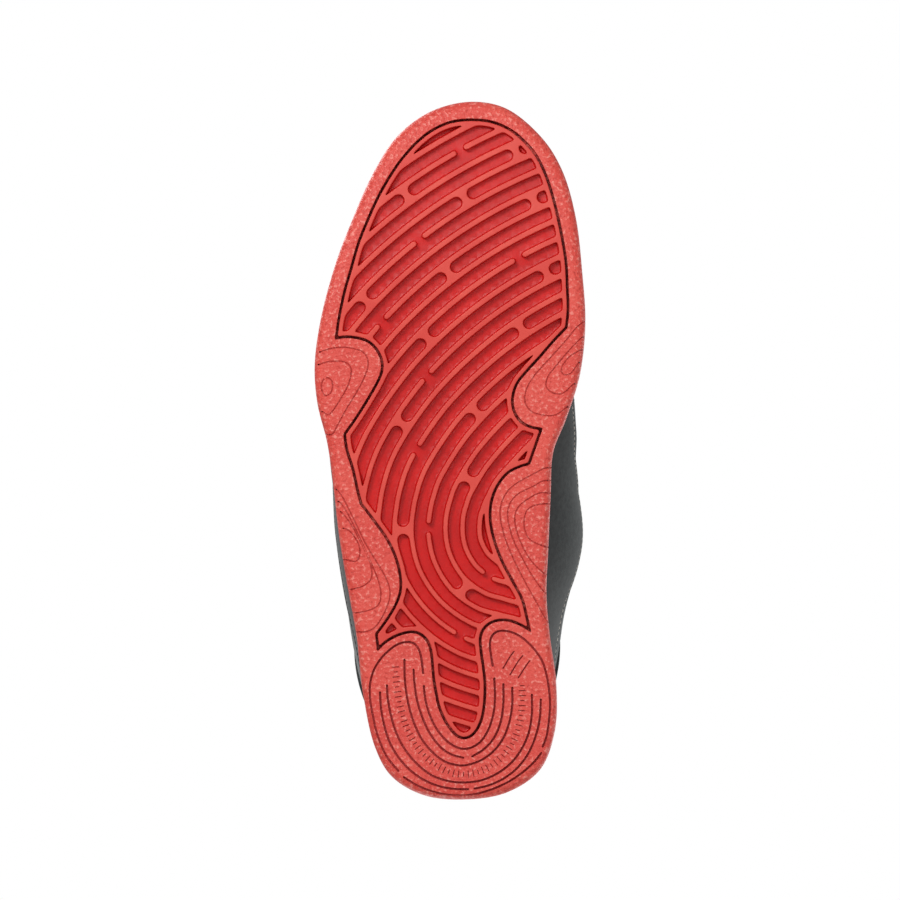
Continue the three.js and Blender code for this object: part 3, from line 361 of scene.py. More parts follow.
tread = {
    "pitch": 7.53, "phase": 0.22, "centre": [30.7, 29.9],
    "toToe": [0.537, 106.6], "toHeel": [1.238, 76.8],
    "ridgeHalf": 1.06, "gap": 1.1, "fence": 1.7, "depth": 3, "plate": 1.8,
    "topRound": 0.3, "draft": 0.42, "cell": 0.35, "bridge": 3.0, "ridgeGap": 3.6,
    "pocket": [
        [[50.1, -52.3], [50.8, -60], [50.5, -70], [50, -80], [48.5, -90], [46.5, -100], [44, -110],
         [41, -119], [37, -127], [32, -133], [26, -138], [18, -141.5], [9, -142.5], [0, -141.5],
         [-8, -138], [-15, -132.5], [-22, -124.5], [-27, -117], [-32, -108], [-36, -99], [-40, -89],
         [-43, -78.5], [-46, -68], [-48.5, -56], [-49.7, -47.3]],
        [[-49.7, -47.3], [-45, -48], [-40, -47.5], [-35.5, -46], [-32, -42.5], [-30, -38], [-30, -34],
         [-31.5, -30], [-36, -22], [-41, -14], [-46, -6.9]],
        [[-46, -6.9], [-45, 0], [-42.5, 8], [-40.5, 17], [-38.9, 23.3]],
        [[-38.9, 23.3], [-36, 27], [-33, 31], [-28, 38], [-24.5, 45], [-22.3, 53], [-22, 60],
         [-24, 66], [-27.5, 72], [-32.4, 78.7]],
        [[-32.4, 78.7], [-31.5, 86.5]],
        [[-31.5, 86.5], [-28, 83], [-24, 80.5], [-20, 79], [-16, 78.5], [-13, 79.5], [-10.5, 82],
         [-9, 86], [-8.3, 92], [-7.8, 98], [-6.8, 104], [-5.5, 110], [-3, 116], [0, 120.5],
         [3, 123.3], [6, 124], [9, 123], [12, 119.5], [14, 114.5], [15, 108], [15.2, 100],
         [14.5, 93], [13.5, 86], [13.2, 80.5], [14.5, 77], [17, 74.7], [20.5, 73.5], [25, 73.6],
         [30, 75.5], [34.5, 78.2]],
        [[34.5, 78.2], [33, 71], [31, 63.5], [27, 56], [22.5, 47.5], [19, 38], [17.5, 30], [18, 22],
         [20.5, 15.5], [25, 10], [30, 7.5], [34, 6.3]],
        [[34, 6.3], [39.5, -9.4]],
        [[39.5, -9.4], [34, -10.5], [30.5, -12.5], [28, -16], [27, -20], [27.3, -24], [29, -28.5],
         [33, -33.5], [38, -39], [45, -47], [50.1, -52.3]],
    ],
    # how far each ridge lies outside its plain arc, by direction from the centre and by ridge
    "driftRidges": [2, 5, 8, 11, 14],
    "drift": [[-75, [4, 2.4, 0.9, -1.1, -3]], [-65, [4.2, 3.1, 1.4, -0.9, -2.8]],
              [-45, [4, 3.3, 1.3, -0.9, -2.8]], [-25, [3, 2.4, 1.6, 0.6, 0]],
              [-5, [1.6, 1.1, 0.4, 0, -0.6]], [5, [1.3, 0.4, -0.5, -1, -1]],
              [15, [0.8, 0, -0.6, -1.2, -1]], [35, [0.9, 0.3, 0, -0.6, -0.9]],
              [55, [1.3, 0.7, 0.3, 0, -0.1]], [75, [1, 0.5, 0, 0, 0]], [130, [0, 0, 0, 0, 0]]],
    # where a ridge is missing for a few millimetres: x, y, ridge
    "gaps": [[3.9, -129, 18], [-13.3, -90, 15], [29, -82.7, 11], [-29, -54.5, 13], [-10, -31.5, 9],
             [-14.7, -0.3, 7], [-9, 33.4, 5], [16.3, 53.5, 3], [4.4, 78.8, 7]],
    # where two ridges join across the channel between them: x, y, the lower ridge
    "bridges": [[-18.7, -109, 17], [28.3, -127.5, 16], [6.2, -107.7, 15], [36, -106.3, 13],
                [-0.7, -75.7, 12], [41.2, -75.6, 9], [-36.6, -64.4, 14], [-9.9, -48, 10],
                [30.7, -51.3, 7], [-20.9, -11.2, 8], [11.2, -16, 5], [7.8, 12.6, 3], [-20, 34.5, 6],
                [6.3, 59, 4]],
}


def pocketLoop():
    parts = []
    for run in tread["pocket"]:
        parts.append(spacedAlong(curveThrough(run, False, 12), 1.2)[:-1])
    return np.vstack(parts)


pocket = pocketLoop()
gridX = np.arange(-56, 56.01, tread["cell"])
gridY = np.arange(-147, 129.01, tread["cell"])
meshX, meshY = np.meshgrid(gridX, gridY)


def insideDistance(loop, reach):
    # distance to the loop, positive inside it, up to reach
    far = np.full(meshX.shape, float(reach))
    inside = np.zeros(meshX.shape, bool)
    for a, b in zip(loop, np.roll(loop, -1, axis=0)):
        low, high = np.minimum(a, b) - reach, np.maximum(a, b) + reach
        i0, i1 = np.searchsorted(gridX, [low[0], high[0]])
        j0, j1 = np.searchsorted(gridY, [low[1], high[1]])
        px, py = meshX[j0:j1, i0:i1] - a[0], meshY[j0:j1, i0:i1] - a[1]
        d = b - a
        t = np.clip((px * d[0] + py * d[1]) / (d @ d), 0, 1)
        near = np.hypot(px - d[0] * t, py - d[1] * t)
        far[j0:j1, i0:i1] = np.minimum(far[j0:j1, i0:i1], near)
        rows = np.flatnonzero((gridY > min(a[1], b[1])) & (gridY <= max(a[1], b[1])))
        if len(rows):
            cross = a[0] + d[0] * (gridY[rows] - a[1]) / d[1]
            inside[rows] ^= gridX[None, :] > cross[:, None]
    return np.where(inside, far, -far)


def ridgeNumber(x, y):
    # counts ridges outwards from the centre by the arch: whole numbers are ridge tops
    cx, cy = tread["centre"]
    toeTurn, toeWider = tread["toToe"]
    heelTurn, heelWider = tread["toHeel"]
    turn = np.arctan2(cy - y, cx - x)
    radius = np.hypot(x - cx, y - cy)
    byToe = np.hypot(x - cx - toeWider * math.cos(toeTurn), y - cy - toeWider * math.sin(toeTurn))
    byHeel = np.hypot(x - cx - heelWider * math.cos(heelTurn), y - cy + heelWider * math.sin(heelTurn))
    radius = np.where(turn > toeTurn, byToe - toeWider, radius)
    radius = np.where(turn < -heelTurn, byHeel - heelWider, radius)
    plain = radius / tread["pitch"] - tread["phase"]
    degrees = np.degrees(turn)
    turns = [row[0] for row in tread["drift"]]
    number = plain
    for _ in range(3):
        shift = np.zeros_like(plain)
        columns = np.array([[np.interp(t, turns, [row[1][k] for row in tread["drift"]])
                             for t in np.linspace(-180, 180, 361)] for k in range(5)])
        read = [np.interp(degrees, np.linspace(-180, 180, 361), c) for c in columns]
        place = np.clip((number - 2) / 3, 0, 3.999)
        k = place.astype(int)
        f = place - k
        stack = np.stack(read)
        low = np.take_along_axis(stack, k[None], 0)[0]
        high = np.take_along_axis(stack, np.minimum(k + 1, 4)[None], 0)[0]
        shift = low * (1 - f) + high * f
        number = plain - shift / tread["pitch"]
    return number


def treadField():
    # positive on the tread's raised land, negative over its channels
    number = ridgeNumber(meshX, meshY)
    slopeY, slopeX = np.gradient(number, tread["cell"])
    steep = np.hypot(slopeX, slopeY)
    width = 1 / steep
    half = np.clip(readKeys([[-150, 1.16], [-40, 1.08], [20, 0.98], [130, 0.98]], meshY), 0.9, 1.3)
    channelHalf = width / 2 - half
    channel = np.floor(number)
    fromChannel = np.abs(number - channel - 0.5) * width
    open_ = channelHalf - fromChannel
    for x, y, n in tread["bridges"]:
        near = np.hypot(meshX - x, meshY - y) < 10
        j, i = np.argmin(np.abs(gridY - y)), np.argmin(np.abs(gridX - x))
        along = ((meshX - x) * -slopeY[j, i] + (meshY - y) * slopeX[j, i]) / steep[j, i]
        reach = tread["bridge"] / 2 + channelHalf - np.abs(along)
        mask = near & (channel == n) & (reach > 0)
        open_ = np.where(mask, channelHalf - np.hypot(fromChannel, np.maximum(reach, 0)), open_)
    land = -open_
    ridge = np.round(number)
    fromRidge = (number - ridge) * width
    for x, y, n in tread["gaps"]:
        near = np.hypot(meshX - x, meshY - y) < 9
        j, i = np.argmin(np.abs(gridY - y)), np.argmin(np.abs(gridX - x))
        along = ((meshX - x) * -slopeY[j, i] + (meshY - y) * slopeX[j, i]) / steep[j, i]
        reach = tread["ridgeGap"] / 2 + half - np.abs(along)
        mask = near & (ridge == n) & (reach > 0)
        land = np.where(mask, np.minimum(land, half - np.hypot(fromRidge, np.maximum(reach, 0))), land)
    return land


pocketDistance = insideDistance(pocket, 9)
plateEdge = pocketDistance - tread["gap"]
fenceField = tread["fence"] - plateEdge
ridgeField = treadField()
blunt = 0.5
landField = (ridgeField + fenceField + np.sqrt((ridgeField - fenceField) ** 2 + blunt ** 2)) / 2
landField -= blunt * 0.12


def sampleField(field, points):
    i = np.clip((points[:, 0] - gridX[0]) / tread["cell"], 0, len(gridX) - 1.001)
    j = np.clip((points[:, 1] - gridY[0]) / tread["cell"], 0, len(gridY) - 1.001)
    i0, j0 = i.astype(int), j.astype(int)
    fi, fj = i - i0, j - j0
    return ((field[j0, i0] * (1 - fi) + field[j0, i0 + 1] * fi) * (1 - fj)
            + (field[j0 + 1, i0] * (1 - fi) + field[j0 + 1, i0 + 1] * fi) * fj)


def contours(field):
    # closed lines where the field is zero, with its positive side on their left
    rows, columns = field.shape
    sign = field > 0
    segments = {}

    def cross(j, i, dj, di):
        a, b = field[j, i], field[j + dj, i + di]
        t = a / (a - b)
        return (gridX[i] + di * t * tread["cell"], gridY[j] + dj * t * tread["cell"])
    mixed = sign[:-1, :-1].astype(int) + sign[:-1, 1:] + sign[1:, 1:] + sign[1:, :-1]
    for j, i in zip(*np.nonzero((mixed > 0) & (mixed < 4))):
        corners = [sign[j, i], sign[j, i + 1], sign[j + 1, i + 1], sign[j + 1, i]]
        sides = [("h", j, i), ("v", j, i + 1), ("h", j + 1, i), ("v", j, i)]
        starts = [s for s in range(4) if corners[s] and not corners[(s + 1) % 4]]
        ends = [s for s in range(4) if not corners[s] and corners[(s + 1) % 4]]
        if len(starts) == 2:
            middle = field[j:j + 2, i:i + 2].mean() > 0
            pairs = []
            for s in starts:
                e = (s + 1) % 4 if middle else (s + 3) % 4
                pairs.append((s, e))
        else:
            pairs = [(starts[0], ends[0])]
        for s, e in pairs:
            segments[sides[s]] = sides[e]
    loops = []
    while segments:
        key = next(iter(segments))
        loop = []
        while key in segments:
            kind, j, i = key
            loop.append(cross(j, i, 0, 1) if kind == "h" else cross(j, i, 1, 0))
            key = segments.pop(key)
        if len(loop) > 8:
            loops.append(np.array(loop))
    return loops


def calmLoop(loop, spacing, passes=2):
    loop = spacedAlong(loop, spacing / 2, True)
    for _ in range(passes):
        loop = loop * 0.5 + (np.roll(loop, 1, 0) + np.roll(loop, -1, 0)) * 0.25
    return spacedAlong(loop, spacing, True)


def loopNormals(loop):
    ahead = np.roll(loop, -1, 0) - np.roll(loop, 1, 0)
    ahead /= np.linalg.norm(ahead, axis=1, keepdims=True)
    return np.stack([ahead[:, 1], -ahead[:, 0]], 1)


def loopArea(loop):
    x, y = loop[:, 0], loop[:, 1]
    return np.sum(x * np.roll(y, -1) - y * np.roll(x, -1)) / 2


def outwardSign(loop, field):
    # +1 when the loop's right-hand normals point down the field
    normals = loopNormals(loop)
    return -1 if sampleField(field, loop + normals * 0.4).mean() > sampleField(
        field, loop - normals * 0.4).mean() else 1


print("tread: outlines")
whole = np.minimum(landField, plateEdge)
treadLoops = [calmLoop(loop, 0.6) for loop in contours(whole)]


def withinLoops(points, loops):
    # true inside an odd number of the loops
    count = np.zeros(len(points), int)
    x, y = points[:, 0], points[:, 1]
    for loop in loops:
        near = (y >= loop[:, 1].min()) & (y <= loop[:, 1].max()) & (x <= loop[:, 0].max())
        px, py = x[near], y[near]
        inside = np.zeros(len(px), int)
        for a, b in zip(loop, np.roll(loop, -1, axis=0)):
            hit = ((a[1] > py) != (b[1] > py)) & (
                px < (b[0] - a[0]) * (py - a[1]) / (b[1] - a[1] + 1e-30) + a[0])
            inside += hit
        count[near] += inside
    return count % 2 == 1


def makeTreadPlate():
    depth, back = tread["depth"], tread["depth"] + tread["plate"]
    profile = [(-tread["topRound"], 0.0), (-0.09, 0.07), (0.02, 0.3),
               (tread["draft"] * 0.75, depth - 0.35), (tread["draft"] + 0.22, depth)]
    outer = max(treadLoops, key=lambda l: abs(loopArea(l)))
    points, faces, depths = [], [], []
    tops, floors = [], []
    starts = {}
    for number, loop in enumerate(treadLoops):
        normals = loopNormals(loop) * outwardSign(loop, whole)
        steps = profile if loop is not outer else profile[:3] + [(0.12, back)]
        starts[number] = len(points), len(loop), len(steps)
        for out, height in steps:
            ring = loop + normals * out
            points += [(x, y, height) for x, y in ring]
            # each ring's depth, which the tread rubber turns into a painted sheen on the tops and painted
            # shade in the channels
            depths += [height / depth] * len(ring)
        first = starts[number][0]
        for k in range(len(steps) - 1):
            faces += ringFaces(first + k * len(loop), first + (k + 1) * len(loop), len(loop))
        tops.append(loop + normals * steps[0][0])
        (floors if loop is not outer else []).append(loop + normals * steps[-1][0])
    base = len(points)

    def addCap(loops, keep, height, shade, grid):
        verts, cap, _ = fillBetween(loops, keep, grid)
        start = len(points)
        points.extend([(x, y, height) for x, y in verts])
        depths.extend([shade] * len(verts))
        faces.extend([tuple(start + i for i in f) for f in cap])
    addCap(tops, lambda p, room: sampleField(whole, p) > tread["topRound"] * 0.5 + room * 0.4
           if room else withinLoops(p, tops), 0.0, 0.0, 3.0)
    addCap(floors, lambda p, room: (sampleField(whole, p) < -tread["draft"] * 0.6 - room * 0.4)
           & (sampleField(plateEdge, p) > 1) if room else withinLoops(p, floors), depth, 1.0, 3.0)
    rim = outer + loopNormals(outer) * outwardSign(outer, whole) * 0.12
    addCap([rim], lambda p, room: sampleField(plateEdge, p) > room * 2 - 0.06, back, 1.0, 8.0)
    points = np.array(points)
    points[:, 2] += spring(points[:, 1])
    piece = newPiece("treadPlate", points, faces, treadRubber, "shoe",
                     ["tread_plate"], depths, angle=0)
    makeActive(piece)
    bpy.ops.object.mode_set(mode="EDIT")
    bpy.ops.mesh.select_all(action="SELECT")
    bpy.ops.mesh.remove_doubles(threshold=2e-6)
    bpy.ops.mesh.normals_make_consistent(inside=False)
    bpy.ops.object.mode_set(mode="OBJECT")
    bpy.ops.object.shade_smooth_by_angle(angle=math.radians(55))
    even = piece.modifiers.new("even", "WEIGHTED_NORMAL")
    even.keep_sharp = True
    bpy.ops.object.modifier_apply(modifier=even.name)
    return piece


treadPlate = makeTreadPlate()
print("tread plate", len(treadPlate.data.polygons))


# The cupsole: rim, rolled edge, sidewall, and the lines engraved in them.

cup = {
    "around": 560, "pocketDepth": 5.15, "pocketRound": 0.45, "lineWidth": 1.15, "lineDepth": 1.1,
    "ringRadius": 0.36, "stitchBand": 5.2, "barSpacing": 2.15, "barLength": 2.7, "barWidth": 0.5,
    # channels round the heel
    "heelLines": [
        [[-11.8, 95.5], [-12.2, 92], [-12.8, 88], [-14, 84.8], [-16, 82.8], [-18.5, 82.3], [-22, 83],
         [-26, 85.5], [-30, 89.5], [-33, 94.5], [-34.5, 100], [-34.6, 106], [-33.7, 112], [-32, 120],
         [-30, 126], [-27, 132], [-22.5, 137.5]],
        [[-20, 140.3], [-14, 144], [-7, 146.6], [0, 147.9], [8, 147.9], [16, 146], [24, 142.6],
         [31, 138], [36, 133.4], [38.7, 130]],
        [[18, 92.3], [17.3, 88], [16.8, 84], [17.3, 80.5], [19, 78.3], [21.5, 77.5], [25, 77.8],
         [30, 80], [35, 84.5], [39, 90], [41, 96], [42.2, 103], [42.6, 110], [42, 117], [41, 123],
         [39.5, 127]],
        [[-30.3, 104], [-29.8, 111], [-28.2, 119], [-25.8, 126], [-21.8, 132.5], [-16.5, 138],
         [-10, 142.2], [-3, 144.6], [4, 145.4], [7.3, 145.4]],
        [[10.3, 145.1], [16, 143.8], [22, 141.2], [28, 136.8], [33, 130.5], [36.3, 123], [38.2, 115],
         [38.6, 107]],
        [[-27.3, 101], [-27, 106], [-25.5, 114], [-23.2, 121.5], [-19.8, 128], [-15, 134],
         [-8, 139.5], [0, 142.1], [6, 142.5], [13, 141.6], [20, 138.6], [26, 134], [30.5, 128],
         [33.5, 121], [34.8, 113], [34.8, 105]],
        [[-19.8, 90], [-19.7, 97], [-19, 104], [-17.6, 111], [-15.3, 118], [-12, 124.5],
         [-7, 130.3], [-2, 133.8], [4, 135.2], [8, 134.8], [14, 132.4], [19, 128.4], [22.8, 123],
         [25.3, 116], [26.4, 109], [26.4, 102]],
        [[-15.9, 94.3], [-15.4, 101], [-14.2, 108], [-12, 115], [-9, 121.3], [-4.5, 127.2],
         [0, 130.4], [5.3, 131.9]],
        [[9.3, 131.3], [14, 128.4], [18, 124.2], [21, 118], [22.5, 110], [22.6, 100.5]],
        [[-11.5, 101.3], [-10.8, 107], [-8.8, 114], [-5.5, 120.3], [-1, 125.3], [4, 127.9],
         [8, 127.8], [12.6, 125.2], [16.3, 119.5], [18.5, 112], [19, 105], [18.7, 98]],
    ],
    # the band of plain bars between two of the channels
    "barBand": [[-23.6, 93], [-23.2, 100], [-22, 108], [-20, 116], [-17, 123], [-12.5, 129.5],
                [-6, 135.2], [1, 138.5], [8, 138.8], [15, 136.6], [21.5, 132], [26.5, 125.5],
                [29.3, 118], [30.6, 110], [30.6, 101]],
    "dashes": [[[22.5, 93.5], [25.5, 88.5], [27, 86.5]], [[25.5, 96.2], [29, 90.5], [30.8, 88.2]],
               [[29, 97.6], [32.2, 92.6], [33.8, 90.4]]],
    # rings like contour lines on the four pads along the edge
    "rings": [
        [[-56, -42], [-52, -43.3], [-47, -44], [-42, -43.5], [-37, -41.5], [-35.3, -37],
         [-37.5, -30], [-41, -23.5], [-45, -17], [-48.5, -10.5], [-51, -6.5], [-53, -6.5]],
        [[-56.5, -36.5], [-53.5, -37.6], [-50, -38], [-45, -37.5], [-42.7, -35], [-43.5, -29],
         [-48, -20.5], [-52.5, -15], [-55, -16.5]],
        [[57, -55], [54, -52.5], [49.5, -47], [45, -42], [40, -36.5], [36, -32], [32.5, -26],
         [31.8, -21], [34, -17], [39, -15], [45, -15], [50, -18.5]],
        [[56.5, -48.5], [52, -44], [46, -37], [41.5, -31], [41, -27], [44, -24.3], [48, -24.3],
         [53, -28.5]],
        [[56, -43], [51, -40], [47.5, -35], [48, -32.5], [51, -32.5], [55, -37.5]],
        [[-45.9, 33.5], [-43, 35], [-39, 42], [-40, 47.5], [-45.6, 47]],
        [[-47, 26.5], [-44, 30], [-38.5, 39.5], [-34, 50], [-34.2, 55.5], [-37.5, 58.3],
         [-43.5, 60]],
        [[-48, 22], [-45.5, 25], [-37.5, 41], [-30, 60], [-31, 66.5], [-36, 69], [-41.5, 70]],
        [[-48.8, 17], [-46.5, 20], [-36.5, 40], [-26, 60], [-28.5, 70], [-33, 76.5], [-37, 78],
         [-40, 78]],
        [[42.3, 23], [37, 23.5], [33, 25.5], [31.5, 30], [32, 35], [34, 38.5], [41.9, 42]],
        [[42.8, 18.5], [38, 18.5], [34, 20.5], [29, 24.5], [27.5, 29], [29, 37], [34.5, 47.5],
         [41.3, 54]],
        [[43.2, 13], [39.5, 13.3], [36, 15.3], [27.5, 20], [24.5, 26], [26, 36], [30.5, 46],
         [36, 55.5], [41, 62]],
        [[43.7, 7.5], [40.5, 7.8], [37, 9.5], [25, 17], [21.3, 25], [22.5, 35], [28, 49],
         [38, 67.5], [41.6, 74]],
    ],
    "loops": [
        [[-53.5, -31], [-51.2, -30], [-50.6, -27], [-51.8, -24], [-53.8, -23.2], [-55.2, -25.5],
         [-55.2, -29]],
    ],
}


def insideLoop(points, loop):
    count = np.zeros(len(points), int)
    x, y = points[:, 0], points[:, 1]
    for a, b in zip(loop, np.roll(loop, -1, axis=0)):
        crosses = (a[1] > y) != (b[1] > y)
        if crosses.any():
            at = a[0] + (b[0] - a[0]) * (y - a[1]) / (b[1] - a[1] if b[1] != a[1] else 1e-9)
            count += crosses & (x < at)
    return count % 2 == 1


def edgeDistance(points):
    # how far inside the sole's outline each point lies
    best = np.full(len(points), 1e9)
    coarse = outline[::4]
    for a, b in zip(coarse, np.roll(coarse, -1, axis=0)):
        d = b - a
        t = np.clip(((points - a) @ d) / (d @ d), 0, 1)
        best = np.minimum(best, np.hypot(*(points - a - d * t[:, None]).T))
    return best


def rollHeight(distance):
    r = sole["edgeRadius"]
    short = np.clip(r - distance, 0, r)
    return r - np.sqrt(np.maximum(r * r - short * short, 0))


def tubeMesh(path, radius, sides, points, faces, tip=True):
    # a closed tube along a path, joined on to the lists
    path = np.asarray(path, float)
    ahead = np.gradient(path, axis=0)
    ahead /= np.linalg.norm(ahead, axis=1, keepdims=True)
    side = np.cross(ahead, [0, 0, 1])
    thin = np.linalg.norm(side, axis=1) < 0.2
    side[thin] = np.cross(ahead[thin], [0.3, 1, 0])
    side /= np.linalg.norm(side, axis=1, keepdims=True)
    over = np.cross(side, ahead)
    radii = np.full(len(path), float(radius)) if np.isscalar(radius) else np.asarray(radius)
    start = len(points)
    for p, s, o, r in zip(path, side, over, radii):
        for k in range(sides):
            turn = 2 * math.pi * (k + 0.5) / sides
            points.append(p + s * r * math.cos(turn) + o * r * math.sin(turn))
    for i in range(len(path) - 1):
        for k in range(sides):
            a, b = start + i * sides + k, start + i * sides + (k + 1) % sides
            faces.append((a, b, b + sides, a + sides))
    faces.append(tuple(start + k for k in reversed(range(sides))))
    last = start + (len(path) - 1) * sides
    faces.append(tuple(last + k for k in range(sides)))


def strokeMesh(path, width, low, high, points, faces):
    # a closed bar with round ends along a flat path
    path = np.asarray(path, float)
    ahead = np.gradient(path, axis=0)
    ahead /= np.linalg.norm(ahead, axis=1, keepdims=True)
    side = np.stack([ahead[:, 1], -ahead[:, 0]], 1)
    half = width / 2
    turns = [80, 55, 30]
    stations = [(path[0] - ahead[0] * half * math.sin(math.radians(t)), side[0],
                 half * math.cos(math.radians(t))) for t in turns]
    stations += [(p, s, half) for p, s in zip(path, side)]
    stations += [(path[-1] + ahead[-1] * half * math.sin(math.radians(t)), side[-1],
                  half * math.cos(math.radians(t))) for t in reversed(turns)]
    start = len(points)
    for p, s, h in stations:
        for across, z in ((-h, low), (h, low), (h * 0.72, high), (-h * 0.72, high)):
            points.append((p[0] + s[0] * across, p[1] + s[1] * across, z))
    for i in range(len(stations) - 1):
        a = start + 4 * i
        for k in range(4):
            faces.append((a + k, a + (k + 1) % 4, a + 4 + (k + 1) % 4, a + 4 + k))
    faces.append((start + 3, start + 2, start + 1, start))
    last = start + 4 * (len(stations) - 1)
    faces.append((last, last + 1, last + 2, last + 3))


def plainObject(name, points, faces):
    mesh = bpy.data.meshes.new(name)
    mesh.from_pydata([tuple(map(float, p)) for p in points], [], faces)
    piece = bpy.data.objects.new(name, mesh)
    bpy.context.scene.collection.objects.link(piece)
    makeActive(piece)
    bpy.ops.object.mode_set(mode="EDIT")
    bpy.ops.mesh.select_all(action="SELECT")
    bpy.ops.mesh.normals_make_consistent(inside=False)
    bpy.ops.object.mode_set(mode="OBJECT")
    return piece


def cutWith(piece, cutter):
    cut = piece.modifiers.new("cut", "BOOLEAN")
    cut.operation = "DIFFERENCE"
    cut.solver = "MANIFOLD"
    cut.object = cutter
    makeActive(piece)
    bpy.ops.object.modifier_apply(modifier=cut.name)
    bpy.data.objects.remove(cutter)


def ringPath(flat, closed=False):
    # a ring's path on the sole's surface, running on up the sidewall at its ends
    path = curveThrough(flat, closed, 8)
    path = spacedAlong(path, 0.9, closed)
    if closed:
        path = np.vstack([path, path[:1]])
    distance = edgeDistance(path) * np.where(insideLoop(path, outline[::2]), 1, -1)
    z = rollHeight(np.maximum(distance, 0.05))
    full = np.column_stack([path, z])
    if closed:
        return full

    def climb(end):
        near = outline[np.argmin(np.hypot(*(outline - end[:2]).T))]
        steps = [(*near, h) for h in (4.6, 6, 7.5, 9)]
        return np.array(steps)
    keep = full[distance > 0.1]
    head = climb(keep[0])[::-1] if edgeDistance(keep[:1, :2])[0] < 3.4 else keep[:0]
    tail = climb(keep[-1]) if edgeDistance(keep[-1:, :2])[0] < 3.4 else keep[:0]
    return spacedAlong(np.vstack([head, keep, tail]), 0.9)


def makeCupsole():
    rounds = np.linspace(0, 2, cup["around"], endpoint=False)
    wallTop = lambda y: readKeys(sole["wallHeight"], y)
    points, faces = [], []
    rings = []

    def addRing(flat, height):
        rings.append((len(points), len(flat)))
        points.extend(np.column_stack([flat, np.broadcast_to(height, len(flat))]))
        return rings[-1]

    def joinRings(a, b):
        faces.extend(ringFaces(a[0], b[0], a[1]))
    r = sole["edgeRadius"]
    groundEdge = edgePoints(rounds, r)
    ring = addRing(groundEdge, 0.0)
    groundRing = ring
    for step in range(1, 7):
        turn = step * math.pi / 12
        new = addRing(edgePoints(rounds, r * (1 - math.sin(turn))), r * (1 - math.cos(turn)))
        joinRings(ring, new)
        ring = new
    edge = edgePoints(rounds, 0)
    top = wallTop(edge[:, 1])
    band = cup["stitchBand"]
    bodyProfile = [(0.02, 0.25), (0.02, 0.5), (0.05, 0.75), (0.1, 0.97), (0.5, 1.0)]
    for inset, share in bodyProfile:
        new = addRing(edgePoints(rounds, inset), r + (top - band - 1.5 - r) * share
                      + (0.3 if share == 1.0 else 0))
        joinRings(ring, new)
        ring = new
    for inset, below_ in ((0.95, band + 0.7), (1.0, band - 0.5), (0.45, band - 1.1), (0.2, band - 1.6),
                          (0.25, 1.1), (0.5, 0.45), (1.0, 0.08), (1.6, 0.0)):
        new = addRing(edgePoints(rounds, inset), top - below_)
        joinRings(ring, new)
        ring = new
    for inset, height in ((sole["wall"] - 0.5, top), (sole["wall"], top - 0.5),
                          (sole["wall"], np.full(len(top), float(sole["floor"])))):
        new = addRing(edgePoints(rounds, inset), height)
        joinRings(ring, new)
        ring = new

    def addCap(loops, keep, height, grid):
        verts, cap, _ = fillBetween(loops, keep, grid)
        start = len(points)
        points.extend(np.column_stack([verts, np.full(len(verts), height)]))
        faces.extend([tuple(int(start + i) for i in f) for f in cap])
    inner = edgePoints(rounds, sole["wall"])
    addCap([inner], lambda p, room: insideLoop(p, inner), sole["floor"], 9.0)
    fine = calmLoop(pocket, 0.9, 1)
    normals = loopNormals(fine) * (1 if loopArea(fine) > 0 else -1)
    size = len(fine)
    mouth = fine + normals * cup["pocketRound"]
    ring = addRing(mouth, 0.0)
    for out, height in ((0.13, 0.12), (0.0, 0.45), (0.0, cup["pocketDepth"])):
        new = addRing(fine + normals * out, height)
        joinRings(ring, new)
        ring = new
    addCap([fine], lambda p, room: insideLoop(p, fine), cup["pocketDepth"], 9.0)
    addCap([groundEdge, mouth], lambda p, room: insideLoop(p, groundEdge) & ~insideLoop(p, mouth),
           0.0, 4.0)
    mesh = bpy.data.meshes.new("cupsole")
    mesh.from_pydata([tuple(map(float, p)) for p in points], [], faces)
    piece = bpy.data.objects.new("cupsole", mesh)
    bpy.context.scene.collection.objects.link(piece)
    makeActive(piece)
    bpy.ops.object.mode_set(mode="EDIT")
    bpy.ops.mesh.select_all(action="SELECT")
    bpy.ops.mesh.remove_doubles(threshold=0.002)
    bpy.ops.mesh.normals_make_consistent(inside=False)
    bpy.ops.object.mode_set(mode="OBJECT")

    cutPoints, cutFaces = [], []
    for line in cup["heelLines"]:
        path = spacedAlong(curveThrough(line, False, 8), 1.0)
        strokeMesh(path, cup["lineWidth"], -1, cup["lineDepth"], cutPoints, cutFaces)
    for line in cup["dashes"]:
        path = spacedAlong(curveThrough(line, False, 6), 0.8)
        strokeMesh(path, 0.75, -1, 0.6, cutPoints, cutFaces)
    band = spacedAlong(curveThrough(cup["barBand"], False, 8), cup["barSpacing"])
    ahead = np.gradient(band, axis=0)
    ahead /= np.linalg.norm(ahead, axis=1, keepdims=True)
    for number, (p, a) in enumerate(zip(band, ahead)):
        across = np.array([a[1], -a[0]]) * cup["barLength"] / 2 * (0.55 if number % 3 == 1 else 1)
        strokeMesh([p - across, p, p + across], cup["barWidth"], -1, 0.5, cutPoints, cutFaces)
    cutWith(piece, plainObject("heelCutter", cutPoints, cutFaces))
    cutPoints, cutFaces = [], []
    for flat in cup["rings"]:
        tubeMesh(ringPath(flat), cup["ringRadius"], 8, cutPoints, cutFaces)
    cutWith(piece, plainObject("ringCutter", cutPoints, cutFaces))
    cutPoints, cutFaces = [], []
    for flat in cup["loops"]:
        tubeMesh(ringPath(flat, True)[:-1], cup["ringRadius"], 8, cutPoints, cutFaces)
    cutWith(piece, plainObject("loopCutter", cutPoints, cutFaces))

